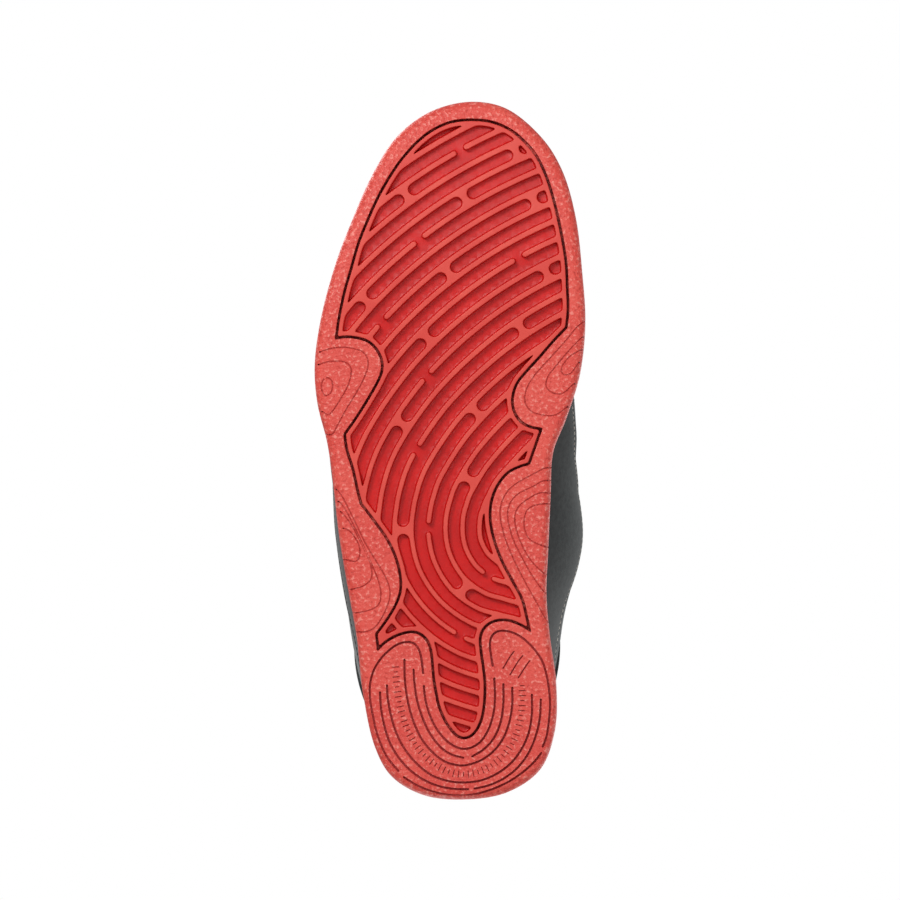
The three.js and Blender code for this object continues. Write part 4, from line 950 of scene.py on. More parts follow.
    mesh = piece.data
    co = np.array([v.co for v in mesh.vertices])
    distance = edgeDistance(co[:, :2])
    surface = rollHeight(distance)
    # how deep each point lies in an engraved line, and the whole tread pocket; the rubber paints these darker
    # as painted shade
    engraved = (co[:, 2] - surface > 0.12) & (co[:, 2] < 3.6) & (distance > 1.2)
    deep = np.clip((co[:, 2] - surface) / 0.5, 0, 1) * engraved
    inPocket = insideLoop(co[:, :2], fine) & (co[:, 2] < 6) & (co[:, 2] > 0.3)
    deep = np.maximum(deep, inPocket * 1.0)
    attribute = mesh.attributes.new("depth", "FLOAT", "POINT")
    attribute.data.foreach_set("value", deep.astype(np.float32))
    co[:, 2] += spring(co[:, 1])
    mesh.vertices.foreach_set("co", ((co + frameShift) / 1000).astype(np.float32).ravel())
    mesh.update()
    mesh.materials.clear()
    mesh.materials.append(outsoleRubber)
    makeActive(piece)
    bpy.ops.object.shade_smooth_by_angle(angle=math.radians(40))
    even = piece.modifiers.new("even", "WEIGHTED_NORMAL")
    even.keep_sharp = True
    bpy.ops.object.modifier_apply(modifier=even.name)
    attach(piece, "shoe")
    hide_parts("outsole")
    return piece


cupsole = makeCupsole()
print("cupsole", len(cupsole.data.polygons))


# The upper's surface: ribs from the sole to the collar or to the line over the foot.

upper = {
    "inset": 6.2, "throatTop": 0.46, "throatBase": 0.68, "wallStep": 0.125,
    "collar": [3, 93, 41, 45], "instep": 156, "ribs": 200, "steps": 128,
    "rimAngle": [[0, 0], [0.1, 32], [0.2, 62], [0.3, 95], [0.4, 142], [0.46, 180]],
    "rimHeight": [[0, 148], [40, 145], [80, 138], [115, 139], [150, 148], [180, 156]],
    "ridgePlace": [[0.46, 48], [0.52, 30], [0.6, -4], [0.7, -47], [0.8, -83], [0.9, -108],
                   [1, -116]],
    "ridgeHeight": [[-116, 54], [-90, 60], [-70, 64], [-50, 71], [-30, 81], [-10, 93], [10, 107],
                    [25, 119.5], [38, 135], [48, 156]],
    "ridgeOffset": [[-116, 9], [-60, 7], [0, 5], [48, 4]],
    "handleUp": [[0, 42], [0.1, 40], [0.2, 36], [0.3, 36], [0.4, 40], [0.5, 38], [0.6, 28],
                 [0.7, 19], [0.8, 15], [0.9, 14], [1, 13]],
    "leanLateral": [[0, -1], [0.1, -1], [0.2, 10], [0.3, 15], [0.4, 19], [0.5, 19], [0.6, 4],
                    [0.7, 1], [0.8, 1], [0.9, 1], [1, 1]],
    "leanMedial": [[0, -1], [0.1, -1], [0.2, 6], [0.3, 21], [0.4, 44], [0.5, 42], [0.6, 13],
                   [0.7, 1], [0.8, 1], [0.9, 1], [1, 1]],
    "topReach": [[0, 45], [0.2, 42], [0.3, 42], [0.4, 38], [0.46, 30], [0.55, 36], [0.7, 36],
                 [0.8, 32], [0.9, 25], [1, 20]],
    "topTurn": [[0, 90], [0.3, 90], [0.38, 78], [0.43, 52], [0.46, 34]],
    "topSweep": [[0.46, 34], [0.5, 22], [0.56, 14], [0.7, 14], [0.8, 22], [0.9, 48], [1, 90]],
    "pinch": [[0, 1], [0.2, 2], [0.35, 3], [0.46, 0]],
    "slotHalf": [[0.38, 21], [0.46, 20], [0.56, 16], [0.68, 12]],
}


def unit(vectors):
    return vectors / np.maximum(np.linalg.norm(vectors, axis=-1, keepdims=True), 1e-9)


def ridgePoint(y):
    return np.stack([readKeys(upper["ridgeOffset"], y), np.asarray(y, float),
                     readKeys(upper["ridgeHeight"], y)], -1)


def rimPoint(angle, side):
    cx, cy, halfWidth, halfLength = upper["collar"]
    turn = np.radians(angle)
    return np.stack([cx + side * halfWidth * np.sin(turn), cy + halfLength * np.cos(turn),
                     readKeys(upper["rimHeight"], angle)], -1)


def ribHandles(rounds):
    side = np.where(rounds <= 1, -1.0, 1.0)
    rib = np.where(rounds <= 1, rounds, 2 - rounds)
    flat = edgePoints(rounds, upper["inset"])
    foot = np.column_stack([flat, cupHeight(flat[:, 1]) + 0.6])
    out = np.column_stack([edgePoints(rounds, upper["inset"] - 1) - flat, np.zeros(len(flat))])
    lean = np.where(side < 0, readKeys(upper["leanLateral"], rib), readKeys(upper["leanMedial"], rib))
    lift = np.array([0, 0, 1.0])
    first = foot + out * lean[:, None] + lift * readKeys(upper["handleUp"], rib)[:, None]
    reach = readKeys(upper["topReach"], rib)[:, None]
    angle = readKeys(upper["rimAngle"], rib)
    rim = rimPoint(angle, side)
    along = rimPoint(angle - 1, side) - rimPoint(angle + 1, side)
    along[:, 2] = 0
    along = unit(along)
    away = np.stack([along[:, 1] * -side, along[:, 0] * side, np.zeros(len(side))], -1)
    turn = np.radians(readKeys(upper["topTurn"], rib))[:, None]
    rimHandle = (rim + along * reach * np.cos(turn) - lift * reach * np.sin(turn)
                 - away * readKeys(upper["pinch"], rib)[:, None])
    y = readKeys(upper["ridgePlace"], rib)
    ridge = ridgePoint(y)
    ahead = unit(ridgePoint(y + 1) - ridgePoint(y - 1))
    sweep = np.radians(readKeys(upper["topSweep"], rib))[:, None]
    ridgeHandle = ridge - ahead * reach * np.sin(sweep)
    ridgeHandle[:, 0] += (side[:, None] * reach * np.cos(sweep))[:, 0]
    onRim = (rib < upper["throatTop"])[:, None]
    return foot, first, np.where(onRim, rimHandle, ridgeHandle), np.where(onRim, rim, ridge)


def makeLattice():
    ribs, steps = upper["ribs"], upper["steps"]
    rounds = np.arange(2 * ribs) / ribs
    foot, first, second, top = ribHandles(rounds)
    share = np.arange(steps + 1) / steps
    inWall = share < upper["wallStep"]
    t = np.clip((share - upper["wallStep"]) / (1 - upper["wallStep"]), 0, 1)[None, :, None]
    a, b, c, d = (h[:, None, :] for h in (foot, first, second, top))
    grid = a * (1 - t) ** 3 + 3 * b * t * (1 - t) ** 2 + 3 * c * t ** 2 * (1 - t) + d * t ** 3
    low = foot.copy()
    low[:, 2] = bedHeight(foot[:, 1])
    s = (share / upper["wallStep"])[None, :, None]
    grid = np.where(inWall[None, :, None], low[:, None, :] * (1 - s) + a * s, grid)
    # round off the line where both sides meet over the foot
    for i in range(1, ribs):
        if i / ribs >= upper["throatTop"]:
            line = np.vstack([grid[i], grid[2 * ribs - i][-2::-1]])
            near = np.arange(len(line)) - steps
            weight = (smoothStep(26 - np.abs(near), 0, 20) * 0.5)[1:-1, None]
            for _ in range(60):
                line[1:-1] += weight * ((line[:-2] + line[2:]) / 2 - line[1:-1])
            grid[i] = line[:steps + 1]
            grid[2 * ribs - i] = line[steps:][::-1]
    across = np.roll(grid, -1, 0) - np.roll(grid, 1, 0)
    rising = np.gradient(grid, axis=1)
    normals = np.cross(across, rising)
    for i in range(1, ribs):
        if i / ribs >= upper["throatTop"]:
            both = unit(normals[i, -1]) + unit(normals[2 * ribs - i, -1])
            normals[i, -1] = normals[2 * ribs - i, -1] = both
    return grid, unit(normals)


lattice, latticeNormals = makeLattice()
latticeRounds = np.arange(2 * upper["ribs"]) / upper["ribs"]
latticeShares = np.arange(upper["steps"] + 1) / upper["steps"]


def upperAt(rounds, shares, lift=0.0):
    rounds, shares = np.broadcast_arrays(np.asarray(rounds, float), np.asarray(shares, float))
    i = np.mod(rounds, 2) * upper["ribs"]
    j = np.clip(shares, 0, 1) * upper["steps"]
    i0 = np.floor(i).astype(int)
    j0 = np.clip(np.floor(j).astype(int), 0, upper["steps"] - 1)
    fi, fj = (i - i0)[..., None], (j - j0)[..., None]
    columns = 2 * upper["ribs"]
    i0, i1 = i0 % columns, (i0 + 1) % columns

    def read(grid):
        return ((grid[i0, j0] * (1 - fi) + grid[i1, j0] * fi) * (1 - fj)
                + (grid[i0, j0 + 1] * (1 - fi) + grid[i1, j0 + 1] * fi) * fj)
    return read(lattice) + unit(read(latticeNormals)) * np.asarray(lift, float)[..., None]


def ribOf(rounds):
    rounds = np.mod(rounds, 2)
    return np.where(rounds <= 1, rounds, 2 - rounds)


def byRound(table):
    # reads a value per rib at any place round the shoe
    closed = np.append(table, table[0])
    places = np.append(latticeRounds, 2)
    return lambda rounds: np.interp(np.mod(rounds, 2), places, closed)


ribLengths = np.concatenate([np.zeros((len(lattice), 1)), np.cumsum(
    np.linalg.norm(np.diff(lattice, axis=1), axis=2), axis=1)], axis=1)
footHeights = lattice[:, int(upper["wallStep"] * upper["steps"]), 2]


def shareAtHeight(heights):
    return byRound(np.array([np.interp(h, z, latticeShares) for h, z in zip(
        np.broadcast_to(heights, len(lattice)), np.maximum.accumulate(lattice[:, :, 2], axis=1))]))


def shareBelow(fromShare, distance):
    table = []
    for i, lengths in enumerate(ribLengths):
        start = np.interp(fromShare(latticeRounds[i]), latticeShares, lengths)
        down = distance(latticeRounds[i]) if callable(distance) else distance
        table.append(np.interp(start - down, lengths, latticeShares))
    return byRound(np.array(table))


def slotTable():
    table = np.ones(len(lattice))
    for i, rib in enumerate(ribOf(latticeRounds)):
        if rib < upper["slotHalf"][0][0]:
            continue
        width = float(readKeys(upper["slotHalf"], rib))
        far = np.abs(lattice[i, :, 0] - readKeys(upper["ridgeOffset"], lattice[i, :, 1]))
        out = np.flatnonzero(far >= width)
        if len(out) and out[-1] < upper["steps"]:
            j = out[-1]
            table[i] = (j + (far[j] - width) / (far[j] - far[j + 1])) / upper["steps"]
    return table


slotShare = byRound(slotTable())
onSide = lambda side, rib: np.where(side < 0, rib, 2 - np.asarray(rib, float))
vampSeam = lambda share: 0.55 + (upper["throatBase"] - 0.55) * share


# The upper's materials.

def makeNubuck(name, dark, light, napScale=260):
    # full-grain leather sanded to a short nap: no mirror shine, a soft bloom at grazing angles
    material, tree, shader, place = newMaterial(name)
    nap = addNode(tree, "ShaderNodeTexNoise", {"Scale": napScale, "Detail": 5, "Roughness": 0.65},
                  {"Vector": place})
    fibre = addNode(tree, "ShaderNodeTexNoise", {"Scale": 2300, "Detail": 2}, {"Vector": place})
    hand = addNode(tree, "ShaderNodeTexNoise", {"Scale": 34, "Detail": 3, "Distortion": 0.6},
                   {"Vector": place})
    base = mixColours(tree, ramp(tree, nap.outputs[0], 0.3, 0.72), dark, light)
    base = mixColours(tree, ramp(tree, hand.outputs[0], 0.42, 0.75), base, light)
    tree.links.new(base, shader.inputs["Base Color"])
    bump = addNode(tree, "ShaderNodeBump", {"Strength": 0.25, "Distance": 0.0004},
                   {"Height": nap.outputs[0]})
    fine = addNode(tree, "ShaderNodeBump", {"Strength": 0.3, "Distance": 0.0002},
                   {"Height": fibre.outputs[0], "Normal": bump.outputs[0]})
    tree.links.new(fine.outputs[0], shader.inputs["Normal"])
    shader.inputs["Roughness"].default_value = 0.86
    shader.inputs["IOR"].default_value = 1.45
    shader.inputs["Sheen Weight"].default_value = 0.1
    shader.inputs["Sheen Roughness"].default_value = 0.45
    return material


def makeWeave(name, dark, light, pitch, roughness=0.85):
    # woven or knitted yarn: two crossing rows of rounded threads, pitch in millimetres
    material, tree, shader, place = newMaterial(name)
    turned = addNode(tree, "ShaderNodeMapping", {"Rotation": (0.6, 0.5, 0.8)}, {"Vector": place})
    scale = math.pi / (pitch / 1000) / 10
    rows = []
    for axis in ("X", "Y"):
        rows.append(addNode(tree, "ShaderNodeTexWave", {"wave_type": "BANDS", "bands_direction": axis,
                    "Scale": scale, "Distortion": 0.6, "Detail": 1}, {"Vector": turned.outputs[0]}))
    both = addNode(tree, "ShaderNodeMath", {"operation": "MULTIPLY"},
                   {0: rows[0].outputs[1], 1: rows[1].outputs[1]})
    cloud = addNode(tree, "ShaderNodeTexNoise", {"Scale": 90, "Detail": 3}, {"Vector": place})
    base = mixColours(tree, both.outputs[0], dark, light)
    base = mixColours(tree, ramp(tree, cloud.outputs[0], 0.4, 0.8), base, light)
    tree.links.new(base, shader.inputs["Base Color"])
    bump = addNode(tree, "ShaderNodeBump", {"Strength": 0.6, "Distance": 0.0004},
                   {"Height": both.outputs[0]})
    tree.links.new(bump.outputs[0], shader.inputs["Normal"])
    shader.inputs["Roughness"].default_value = roughness
    shader.inputs["Sheen Weight"].default_value = 0.2
    return material


def makeThread(name, colour):
    # bonded polyester thread: a tight twist with a slight gleam
    material, tree, shader, place = newMaterial(name)
    twist = addNode(tree, "ShaderNodeTexNoise", {"Scale": 1800, "Detail": 2}, {"Vector": place})
    dark = "#" + "".join(f"{int(int(colour[i:i + 2], 16) * 0.7):02x}" for i in (1, 3, 5))
    base = mixColours(tree, ramp(tree, twist.outputs[0], 0.35, 0.6), dark, colour)
    tree.links.new(base, shader.inputs["Base Color"])
    shader.inputs["Roughness"].default_value = 0.5
    return material


def makeEnamel():
    # brass eyelets under a dark stoved enamel, rubbed thin on the edge
    material, tree, shader, place = newMaterial("enamelledBrass")
    worn = addNode(tree, "ShaderNodeTexNoise", {"Scale": 500, "Detail": 4}, {"Vector": place})
    base = mixColours(tree, ramp(tree, worn.outputs[0], 0.55, 0.72), "#2d2f30", "#55585a")
    tree.links.new(base, shader.inputs["Base Color"])
    shader.inputs["Metallic"].default_value = 0.85
    shader.inputs["Roughness"].default_value = 0.36
    return material


def makePlain(name, dark, light, roughness):
    # foams, boards and sheets inside the shoe: mottled and matt
    material, tree, shader, place = newMaterial(name)
    grain = addNode(tree, "ShaderNodeTexNoise", {"Scale": 600, "Detail": 4}, {"Vector": place})
    base = mixColours(tree, ramp(tree, grain.outputs[0], 0.35, 0.7), dark, light)
    tree.links.new(base, shader.inputs["Base Color"])
    bump = addNode(tree, "ShaderNodeBump", {"Strength": 0.3, "Distance": 0.0003},
                   {"Height": grain.outputs[0]})
    tree.links.new(bump.outputs[0], shader.inputs["Normal"])
    shader.inputs["Roughness"].default_value = roughness
    return material


nubuck = makeNubuck("charcoalNubuck", "#3a3e3e", "#4b5050")
overlayLeather = makeNubuck("waxedNubuck", "#303435", "#3f4444", 420)
collarLeather = makeNubuck("collarNubuck", "#2b2f30", "#3a3f3f", 320)
knit = makeWeave("polyesterKnit", "#1d2021", "#3a3e3e", 1.1)
webbingWeave = makeWeave("nylonWebbing", "#17191a", "#363a3a", 0.9, 0.7)
laceWeave = makeWeave("flatWovenLace", "#26292a", "#4b5050", 0.8, 0.8)
darkThread = makeThread("blackThread", "#191b1c")
lightThread = makeThread("naturalThread", "#cfcac0")
enamel = makeEnamel()


# Sewn panels.

def warped(length, spacing, plain=(False, False)):
    # places from 0 to 1 that crowd towards the sewn edges
    edge = [0, 0.22, 0.5, 0.9, 1.5, 2.1, 2.7, 3.5, 4.6]
    head = [0] if plain[0] else edge
    tail = [0] if plain[1] else edge
    middle = np.linspace(head[-1], length - tail[-1],
                         max(2, int((length - head[-1] - tail[-1]) / spacing) + 1))
    return np.concatenate([head[:-1], middle, length - np.array(tail[:-1])[::-1]]) / length


def sewnPanel(name, place, size, lift, thickness, material, replaces,
              free=(True, True, True, True), valley=0.22, zipped=False, spacing=2.2):
    a = warped(size[0], spacing, (not free[0], not free[1]))
    b = warped(size[1], spacing, (not free[2], not free[3]))
    gridA, gridB = np.meshgrid(a, b, indexing="ij")
    rounds, shares = place(gridA, gridB)
    base = upperAt(rounds, shares)
    far = np.full(base.shape[:2], 1e3)
    for axis, flags in ((0, free[:2]), (1, free[2:])):
        steps = np.linalg.norm(np.diff(base, axis=axis), axis=2)
        pad = [(0, 0), (0, 0)]
        pad[axis] = (1, 0)
        total = np.pad(np.cumsum(steps, axis=axis), pad)
        if flags[0]:
            far = np.minimum(far, total)
        if flags[1]:
            wholeRun = np.take(total, [-1], axis=axis)
            far = np.minimum(far, wholeRun - total)
    short = 1 - np.clip(far / 0.85, 0, 1)
    rise = 0.3 + 0.7 * np.sqrt(1 - short ** 2)
    rise = thickness * rise - valley * np.exp(-((far - 2.3) / 0.65) ** 2)
    rise += valley * 0.8 * smoothStep(far, 3, 8)
    outer = upperAt(rounds, shares, lift + rise)
    inner = upperAt(rounds, shares, np.full(rise.shape, float(lift)))
    m, n = outer.shape[:2]
    points = np.vstack([outer.reshape(-1, 3), inner.reshape(-1, 3)])
    half = m * n
    at = lambda i, j: i * n + j
    faces = []
    for i in range(m - 1):
        for j in range(n - 1):
            faces.append((at(i, j), at(i + 1, j), at(i + 1, j + 1), at(i, j + 1)))
            faces.append((half + at(i, j), half + at(i, j + 1), half + at(i + 1, j + 1),
                          half + at(i + 1, j)))
        faces.append((at(i, 0), half + at(i, 0), half + at(i + 1, 0), at(i + 1, 0)))
        if not zipped:
            faces.append((at(i, n - 1), at(i + 1, n - 1), half + at(i + 1, n - 1), half + at(i, n - 1)))
    for j in range(n - 1):
        faces.append((at(0, j), at(0, j + 1), half + at(0, j + 1), half + at(0, j)))
        faces.append((at(m - 1, j), half + at(m - 1, j), half + at(m - 1, j + 1), at(m - 1, j + 1)))
    piece = newPiece(name, points, faces, material, "shoe", replaces, angle=0)
    makeActive(piece)
    bpy.ops.object.mode_set(mode="EDIT")
    bpy.ops.mesh.select_all(action="SELECT")
    bpy.ops.mesh.remove_doubles(threshold=3e-6)
    bpy.ops.mesh.normals_make_consistent(inside=False)
    bpy.ops.object.mode_set(mode="OBJECT")
    bpy.ops.object.shade_smooth_by_angle(angle=math.radians(60))
    return piece


# Stitches: one is modelled, and copied along every seam.

stitch = {"pitch": 2.55, "length": 2.0, "radius": 0.3, "fromEdge": 2.3, "rowGap": 1.9}


def stitchShape():
    bpy.ops.mesh.primitive_uv_sphere_add(segments=7, ring_count=5, radius=1)
    shape = bpy.context.object
    points = np.array([v.co for v in shape.data.vertices])
    faces = [tuple(p.vertices) for p in shape.data.polygons]
    bpy.data.objects.remove(shape)
    return points, faces


stitchPoints, stitchFaces = stitchShape()
seams = {"dark": [], "light": [], "topdark": [], "toplight": []}


def sewAlong(path, outward, colour, pitch=None, radius=None, ride=""):
    # stitches lie along the path, each dipping into the leather at its ends
    path = np.asarray(path, float)
    lengths = np.concatenate([[0], np.cumsum(np.linalg.norm(np.diff(path, axis=0), axis=1))])
    pitch = pitch or stitch["pitch"]
    radius = radius or stitch["radius"]
    count = int(lengths[-1] / pitch)
    if count < 1:
        return
    at = (np.arange(count) + 0.5) * pitch

    def read(values, where):
        return np.stack([np.interp(where, lengths, values[:, k]) for k in range(3)], -1)
    centre = read(path, at)
    ahead = unit(read(path, at + 0.5) - read(path, at - 0.5))
    outward = unit(read(np.asarray(outward, float), at))
    side = unit(np.cross(outward, ahead))
    outward = np.cross(ahead, side)
    half = pitch * 0.41
    shape = stitchPoints
    body = (centre[:, None, :] + ahead[:, None, :] * shape[None, :, 2:3] * half
            + side[:, None, :] * shape[None, :, 0:1] * radius
            + outward[:, None, :] * (shape[None, :, 1:2] * radius
                                     - (shape[None, :, 2:3] ** 2) * radius * 0.9))
    seams[ride + colour].append(body)


def sewOnUpper(rounds, shares, lift, colour="dark", **size):
    path = upperAt(rounds, shares, np.full(np.shape(rounds), float(lift)))
    beyond = upperAt(rounds, shares, np.full(np.shape(rounds), lift + 1.0))
    sewAlong(path, beyond - path, colour, **size)


def finishSeams():
    for colour, material, name, body in (
            ("dark", darkThread, "stitchingDark", "shoe"),
            ("light", lightThread, "stitchingLight", "shoe"),
            ("topdark", darkThread, "tongueStitching", "tongue_top"),
            ("toplight", lightThread, "patchStitching", "tongue_top")):
        blocks = np.concatenate(seams[colour])
        count, size = blocks.shape[:2]
        points = blocks.reshape(-1, 3)
        faces = [tuple(k * size + v for v in f) for k in range(count) for f in stitchFaces]
        newPiece(name, points, faces, material, body, angle=80)
        print(name, count, "stitches")


# Base panels and overlays.

shell = {"base": -1.8, "thickness": 1.8, "overlay": 0.3, "overlayThickness": 1.45,
         "padStart": 0.845, "toeHeights": [[0, 37], [0.35, 30], [0.7, 16], [1, 8]],
         "heelHeights": [[0, 50], [0.3, 48], [0.7, 34], [1, 20]],
         "foxingLateral": [[0.2, 21], [0.4, 26], [0.57, 9]],
         "innerSeams": [
             ([[49.6, -14], [49.9, 5], [50.2, 30], [49.4, 58]], "dark", 2.3),
             ([[51.4, -12], [51.8, 5], [52.0, 30], [50.9, 56]], "dark", 2.3),
             ([[45.8, 9.5], [48, 3.6], [50.2, -3]], "light", 2.3),
             ([[46.9, 10.3], [49.1, 4.4], [51.2, -2]], "light", 2.3),
             ([[54.3, 21], [54.2, 30], [53.4, 40], [51.6, 50], [49.6, 59]], "light", 2.1),
             ([[46.3, 66], [47.2, 69], [48.4, 72]], "light", 2.0)],
         "foxingMedial": [[0.2, 24], [0.33, 33], [0.42, 36], [0.5, 25], [0.57, 10]]}
sides = {"Lateral": -1, "Medial": 1}


def footPlus(keys, scaleBy):
    heights = footHeights + readKeys(keys, scaleBy)
    return shareAtHeight(heights)


padLine = shareBelow(lambda r: 1.0, lambda r: 21.0)


def quarterTop(rounds):
    return np.where(ribOf(rounds) < 0.366, np.minimum(padLine(rounds) + 0.03, 1), slotShare(rounds))


def quarterPlace(side):
    def place(a, b):
        seam = np.full(np.shape(a), 0.6)
        for _ in range(6):
            top = slotShare(onSide(side, seam))
            seam = vampSeam(0.02 + (top - 0.02) * b)
        rib = 0.0012 + (seam - 0.0024) * a
        rounds = onSide(side, rib)
        return rounds, 0.02 + (quarterTop(rounds) - 0.02) * b
    return place


def vampPlace(a, b):
    share = 0.02 + 0.98 * b
    rib = vampSeam(share) + 0.0012
    return rib + (2 - 2 * rib) * a, share


def makeBasePanels():
    thickness = shell["thickness"]
    for label, side in sides.items():
        sewnPanel("quarter" + label, quarterPlace(side), (190, 115), shell["base"], thickness, nubuck,
                  ["quarter_" + label.lower()], (True, True, False, True))
    vamp = sewnPanel("vamp", vampPlace, (330, 85), shell["base"], thickness, nubuck,
                     ["vamp"], (True, True, False, False), zipped=True)
    # rows of punched holes over the toes
    points, faces = [], []
    skin = lattice[int(0.7 * upper["ribs"]):int(1.3 * upper["ribs"])].reshape(-1, 3)
    for row, (y, count) in enumerate(((-103, 5), (-96, 6), (-89, 7), (-82, 6), (-75, 5))):
        for k in range(count):
            x = readKeys(upper["ridgeOffset"], y) + (k - (count - 1) / 2) * 7
            near = skin[np.argmin((skin[:, 0] - x) ** 2 + (skin[:, 1] - y) ** 2)]
            tubeMesh([near - (0, 0, 5), near, near + (0, 0, 4)], 0.85, 12, points, faces)
    shifted = [(np.asarray(p) + frameShift) / 1000 for p in points]
    cutWith(vamp, plainObject("punch", shifted, faces))
    makeActive(vamp)
    bpy.ops.object.shade_smooth_by_angle(angle=math.radians(50))


def wrapPlace(middle, reach, keys, along=False):
    off = np.clip(np.abs(np.mod(latticeRounds - middle + 1, 2) - 1) / reach, 0, 1)
    heights = footPlus(keys, off)(latticeRounds)
    if along:
        foot = int(upper["wallStep"] * upper["steps"])
        heights = np.array([np.interp(lengths[foot] + reach_, lengths, latticeShares)
                            for lengths, reach_ in zip(ribLengths, readKeys(keys, off))])
    for _ in range(30):
        heights = (np.roll(heights, 1) + np.roll(heights, -1) + 2 * heights) / 4
    top = byRound(heights)

    def place(a, b):
        rounds = np.mod(middle - reach + 2 * reach * a, 2)
        return rounds, 0.04 + (top(rounds) - 0.04) * b
    return place, top


def sidePlace(side, start, end, low, high):
    def place(a, b):
        rounds = onSide(side, start + (end - start) * a)
        bottom, top = low(rounds), high(rounds)
        return rounds, bottom + (top - bottom) * b
    return place


def insetLine(place, which, inset, count=160):
    # a line on a panel, a distance inside one of its edges: which is low, high, start or end
    t = np.linspace(0.015, 0.985, count)
    edge = {"high": (t, 1), "low": (t, 0), "start": (0, t), "end": (1, t)}[which]
    inner = {"high": (t, 0.85), "low": (t, 0.15), "start": (0.12, t), "end": (0.88, t)}[which]
    a0, b0 = np.broadcast_arrays(*map(np.asarray, map(lambda v: np.asarray(v, float), edge)))
    a1, b1 = np.broadcast_arrays(*map(lambda v: np.asarray(v, float), inner))
    far = np.linalg.norm(upperAt(*place(a1, b1)) - upperAt(*place(a0, b0)), axis=-1)
    f = np.clip(inset / np.maximum(far, 0.1), 0, 3)
    return place(a0 + (a1 - a0) * f, b0 + (b1 - b0) * f)


def stitchEdge(place, which, lift, rows=("dark", "dark")):
    for k, colour in enumerate(rows):
        rounds, shares = insetLine(place, which, stitch["fromEdge"] + k * stitch["rowGap"])
        keep = shares > 0.14
        if keep.sum() > 8:
            sewOnUpper(rounds[keep], shares[keep], lift, colour)


def seenFromBelow(path):
    # where flat points lie on the inner side's face that looks down past the sole
    first = int(1.3 * upper["ribs"])
    zone = lattice[first:int(1.85 * upper["ribs"])]
    facing = latticeNormals[first:int(1.85 * upper["ribs"]), :, 2] < 0.12
    rounds, shares = [], []
    for x, y in path:
        far = np.hypot(zone[:, :, 0] - x, zone[:, :, 1] - y) + ~facing * 50
        i, j = np.unravel_index(np.argmin(far), far.shape)
        rounds.append((first + i) / upper["ribs"])
        shares.append(j / upper["steps"])

    def calm(values):
        values = np.array(values)
        for _ in range(12):
            values[1:-1] = (values[:-2] + 2 * values[1:-1] + values[2:]) / 4
        return values
    return calm(rounds), calm(shares)


def makeOverlays():
    lift, thickness = shell["overlay"], shell["overlayThickness"]
    top = lift + thickness - 0.16
    toePlace, _ = wrapPlace(1, 0.42, shell["toeHeights"], True)
    sewnPanel("toeCap", toePlace, (290, 42), lift, thickness, overlayLeather,
              ["toe_cap"], (True, True, False, True))
    stitchEdge(toePlace, "high", top)
    heelPlace, _ = wrapPlace(0, 0.19, shell["heelHeights"])
    sewnPanel("heelOverlay", heelPlace, (130, 70), lift, thickness, overlayLeather,
              ["heel_overlay"], (True, True, False, True))
    stitchEdge(heelPlace, "high", top)
    for label, side in sides.items():
        keys = shell["foxing" + label]
        foxTop = footPlus(keys, ribOf(latticeRounds))
        place = sidePlace(side, 0.195, 0.572, lambda r: 0.04 + 0 * r, foxTop)
        sewnPanel("foxing" + label, place, (150, 45), lift, thickness, overlayLeather,
                  ["foxing_" + label.lower()], (True, True, False, True))
        stitchEdge(place, "high", top, ("light", "dark") if side > 0 else ("dark", "dark"))
        stitchEdge(place, "end", top)
        stayLow = shareBelow(slotShare, 21.0)
        front = float(slotShare(onSide(side, upper["throatBase"])))
        stayHigh = lambda r, front=front: np.where(ribOf(r) > upper["throatBase"], front, slotShare(r))
        place = sidePlace(side, 0.376, 0.69, stayLow, stayHigh)
        sewnPanel("eyestay" + label, place, (125, 21), lift, thickness, overlayLeather,
                  ["eyestay_" + label.lower()], spacing=1.8)
        stitchEdge(place, "low", top)
        stitchEdge(place, "high", top, ("dark",))
        stitchEdge(place, "end", top, ("dark",))
        # the seam between vamp and quarter, and a curved ankle line
        t = np.linspace(0.14, 0.93, 120)
        for shift in (0.006, 0.014):
            sewOnUpper(onSide(side, vampSeam(t) - shift), t * 0.98, -0.08)
        ankle = shareAtHeight(np.clip(readKeys([[0, 96], [0.12, 92], [0.25, 84], [0.4, 92]],
                                               ribOf(latticeRounds)), 0, 200))
        rib = np.linspace(0.035, 0.365, 150)
        for drop in (0.0, 0.014):
            rounds = onSide(side, rib)
            sewOnUpper(rounds, ankle(rounds) - drop, -0.05)
    for line, colour, pitch in shell["innerSeams"]:
        path = spacedAlong(curveThrough(line, False, 8), 1.0, False)
        rounds, shares = seenFromBelow(path)
        sewOnUpper(rounds, shares, 0.15, colour, pitch=pitch, radius=0.42)
    print("overlays")


makeBasePanels()
makeOverlays()


# Padding, swollen by a cloth simulation.

def closedSheet(outer, inner):
    m, n = outer.shape[:2]
    half = m * n
    faces = []
    for i in range(m - 1):
        for j in range(n - 1):
            a, b, c, d = i * n + j, (i + 1) * n + j, (i + 1) * n + j + 1, i * n + j + 1
            faces += [(a, b, c, d), (half + a, half + d, half + c, half + b)]
    rim = ([(i, 0) for i in range(m)] + [(m - 1, j) for j in range(1, n)]
           + [(i, n - 1) for i in range(m - 2, -1, -1)] + [(0, j) for j in range(n - 2, 0, -1)])
    for (i, j), (k, l) in zip(rim, rim[1:] + rim[:1]):
        a, b = i * n + j, k * n + l
        faces.append((a, half + a, half + b, b))
    return np.vstack([outer.reshape(-1, 3), inner.reshape(-1, 3)]), faces


def faceOutwards(piece, weld=3e-6):
    makeActive(piece)
    bpy.ops.object.mode_set(mode="EDIT")
    bpy.ops.mesh.select_all(action="SELECT")
    bpy.ops.mesh.remove_doubles(threshold=weld)
    bpy.ops.mesh.normals_make_consistent(inside=False)
    bpy.ops.object.mode_set(mode="OBJECT")


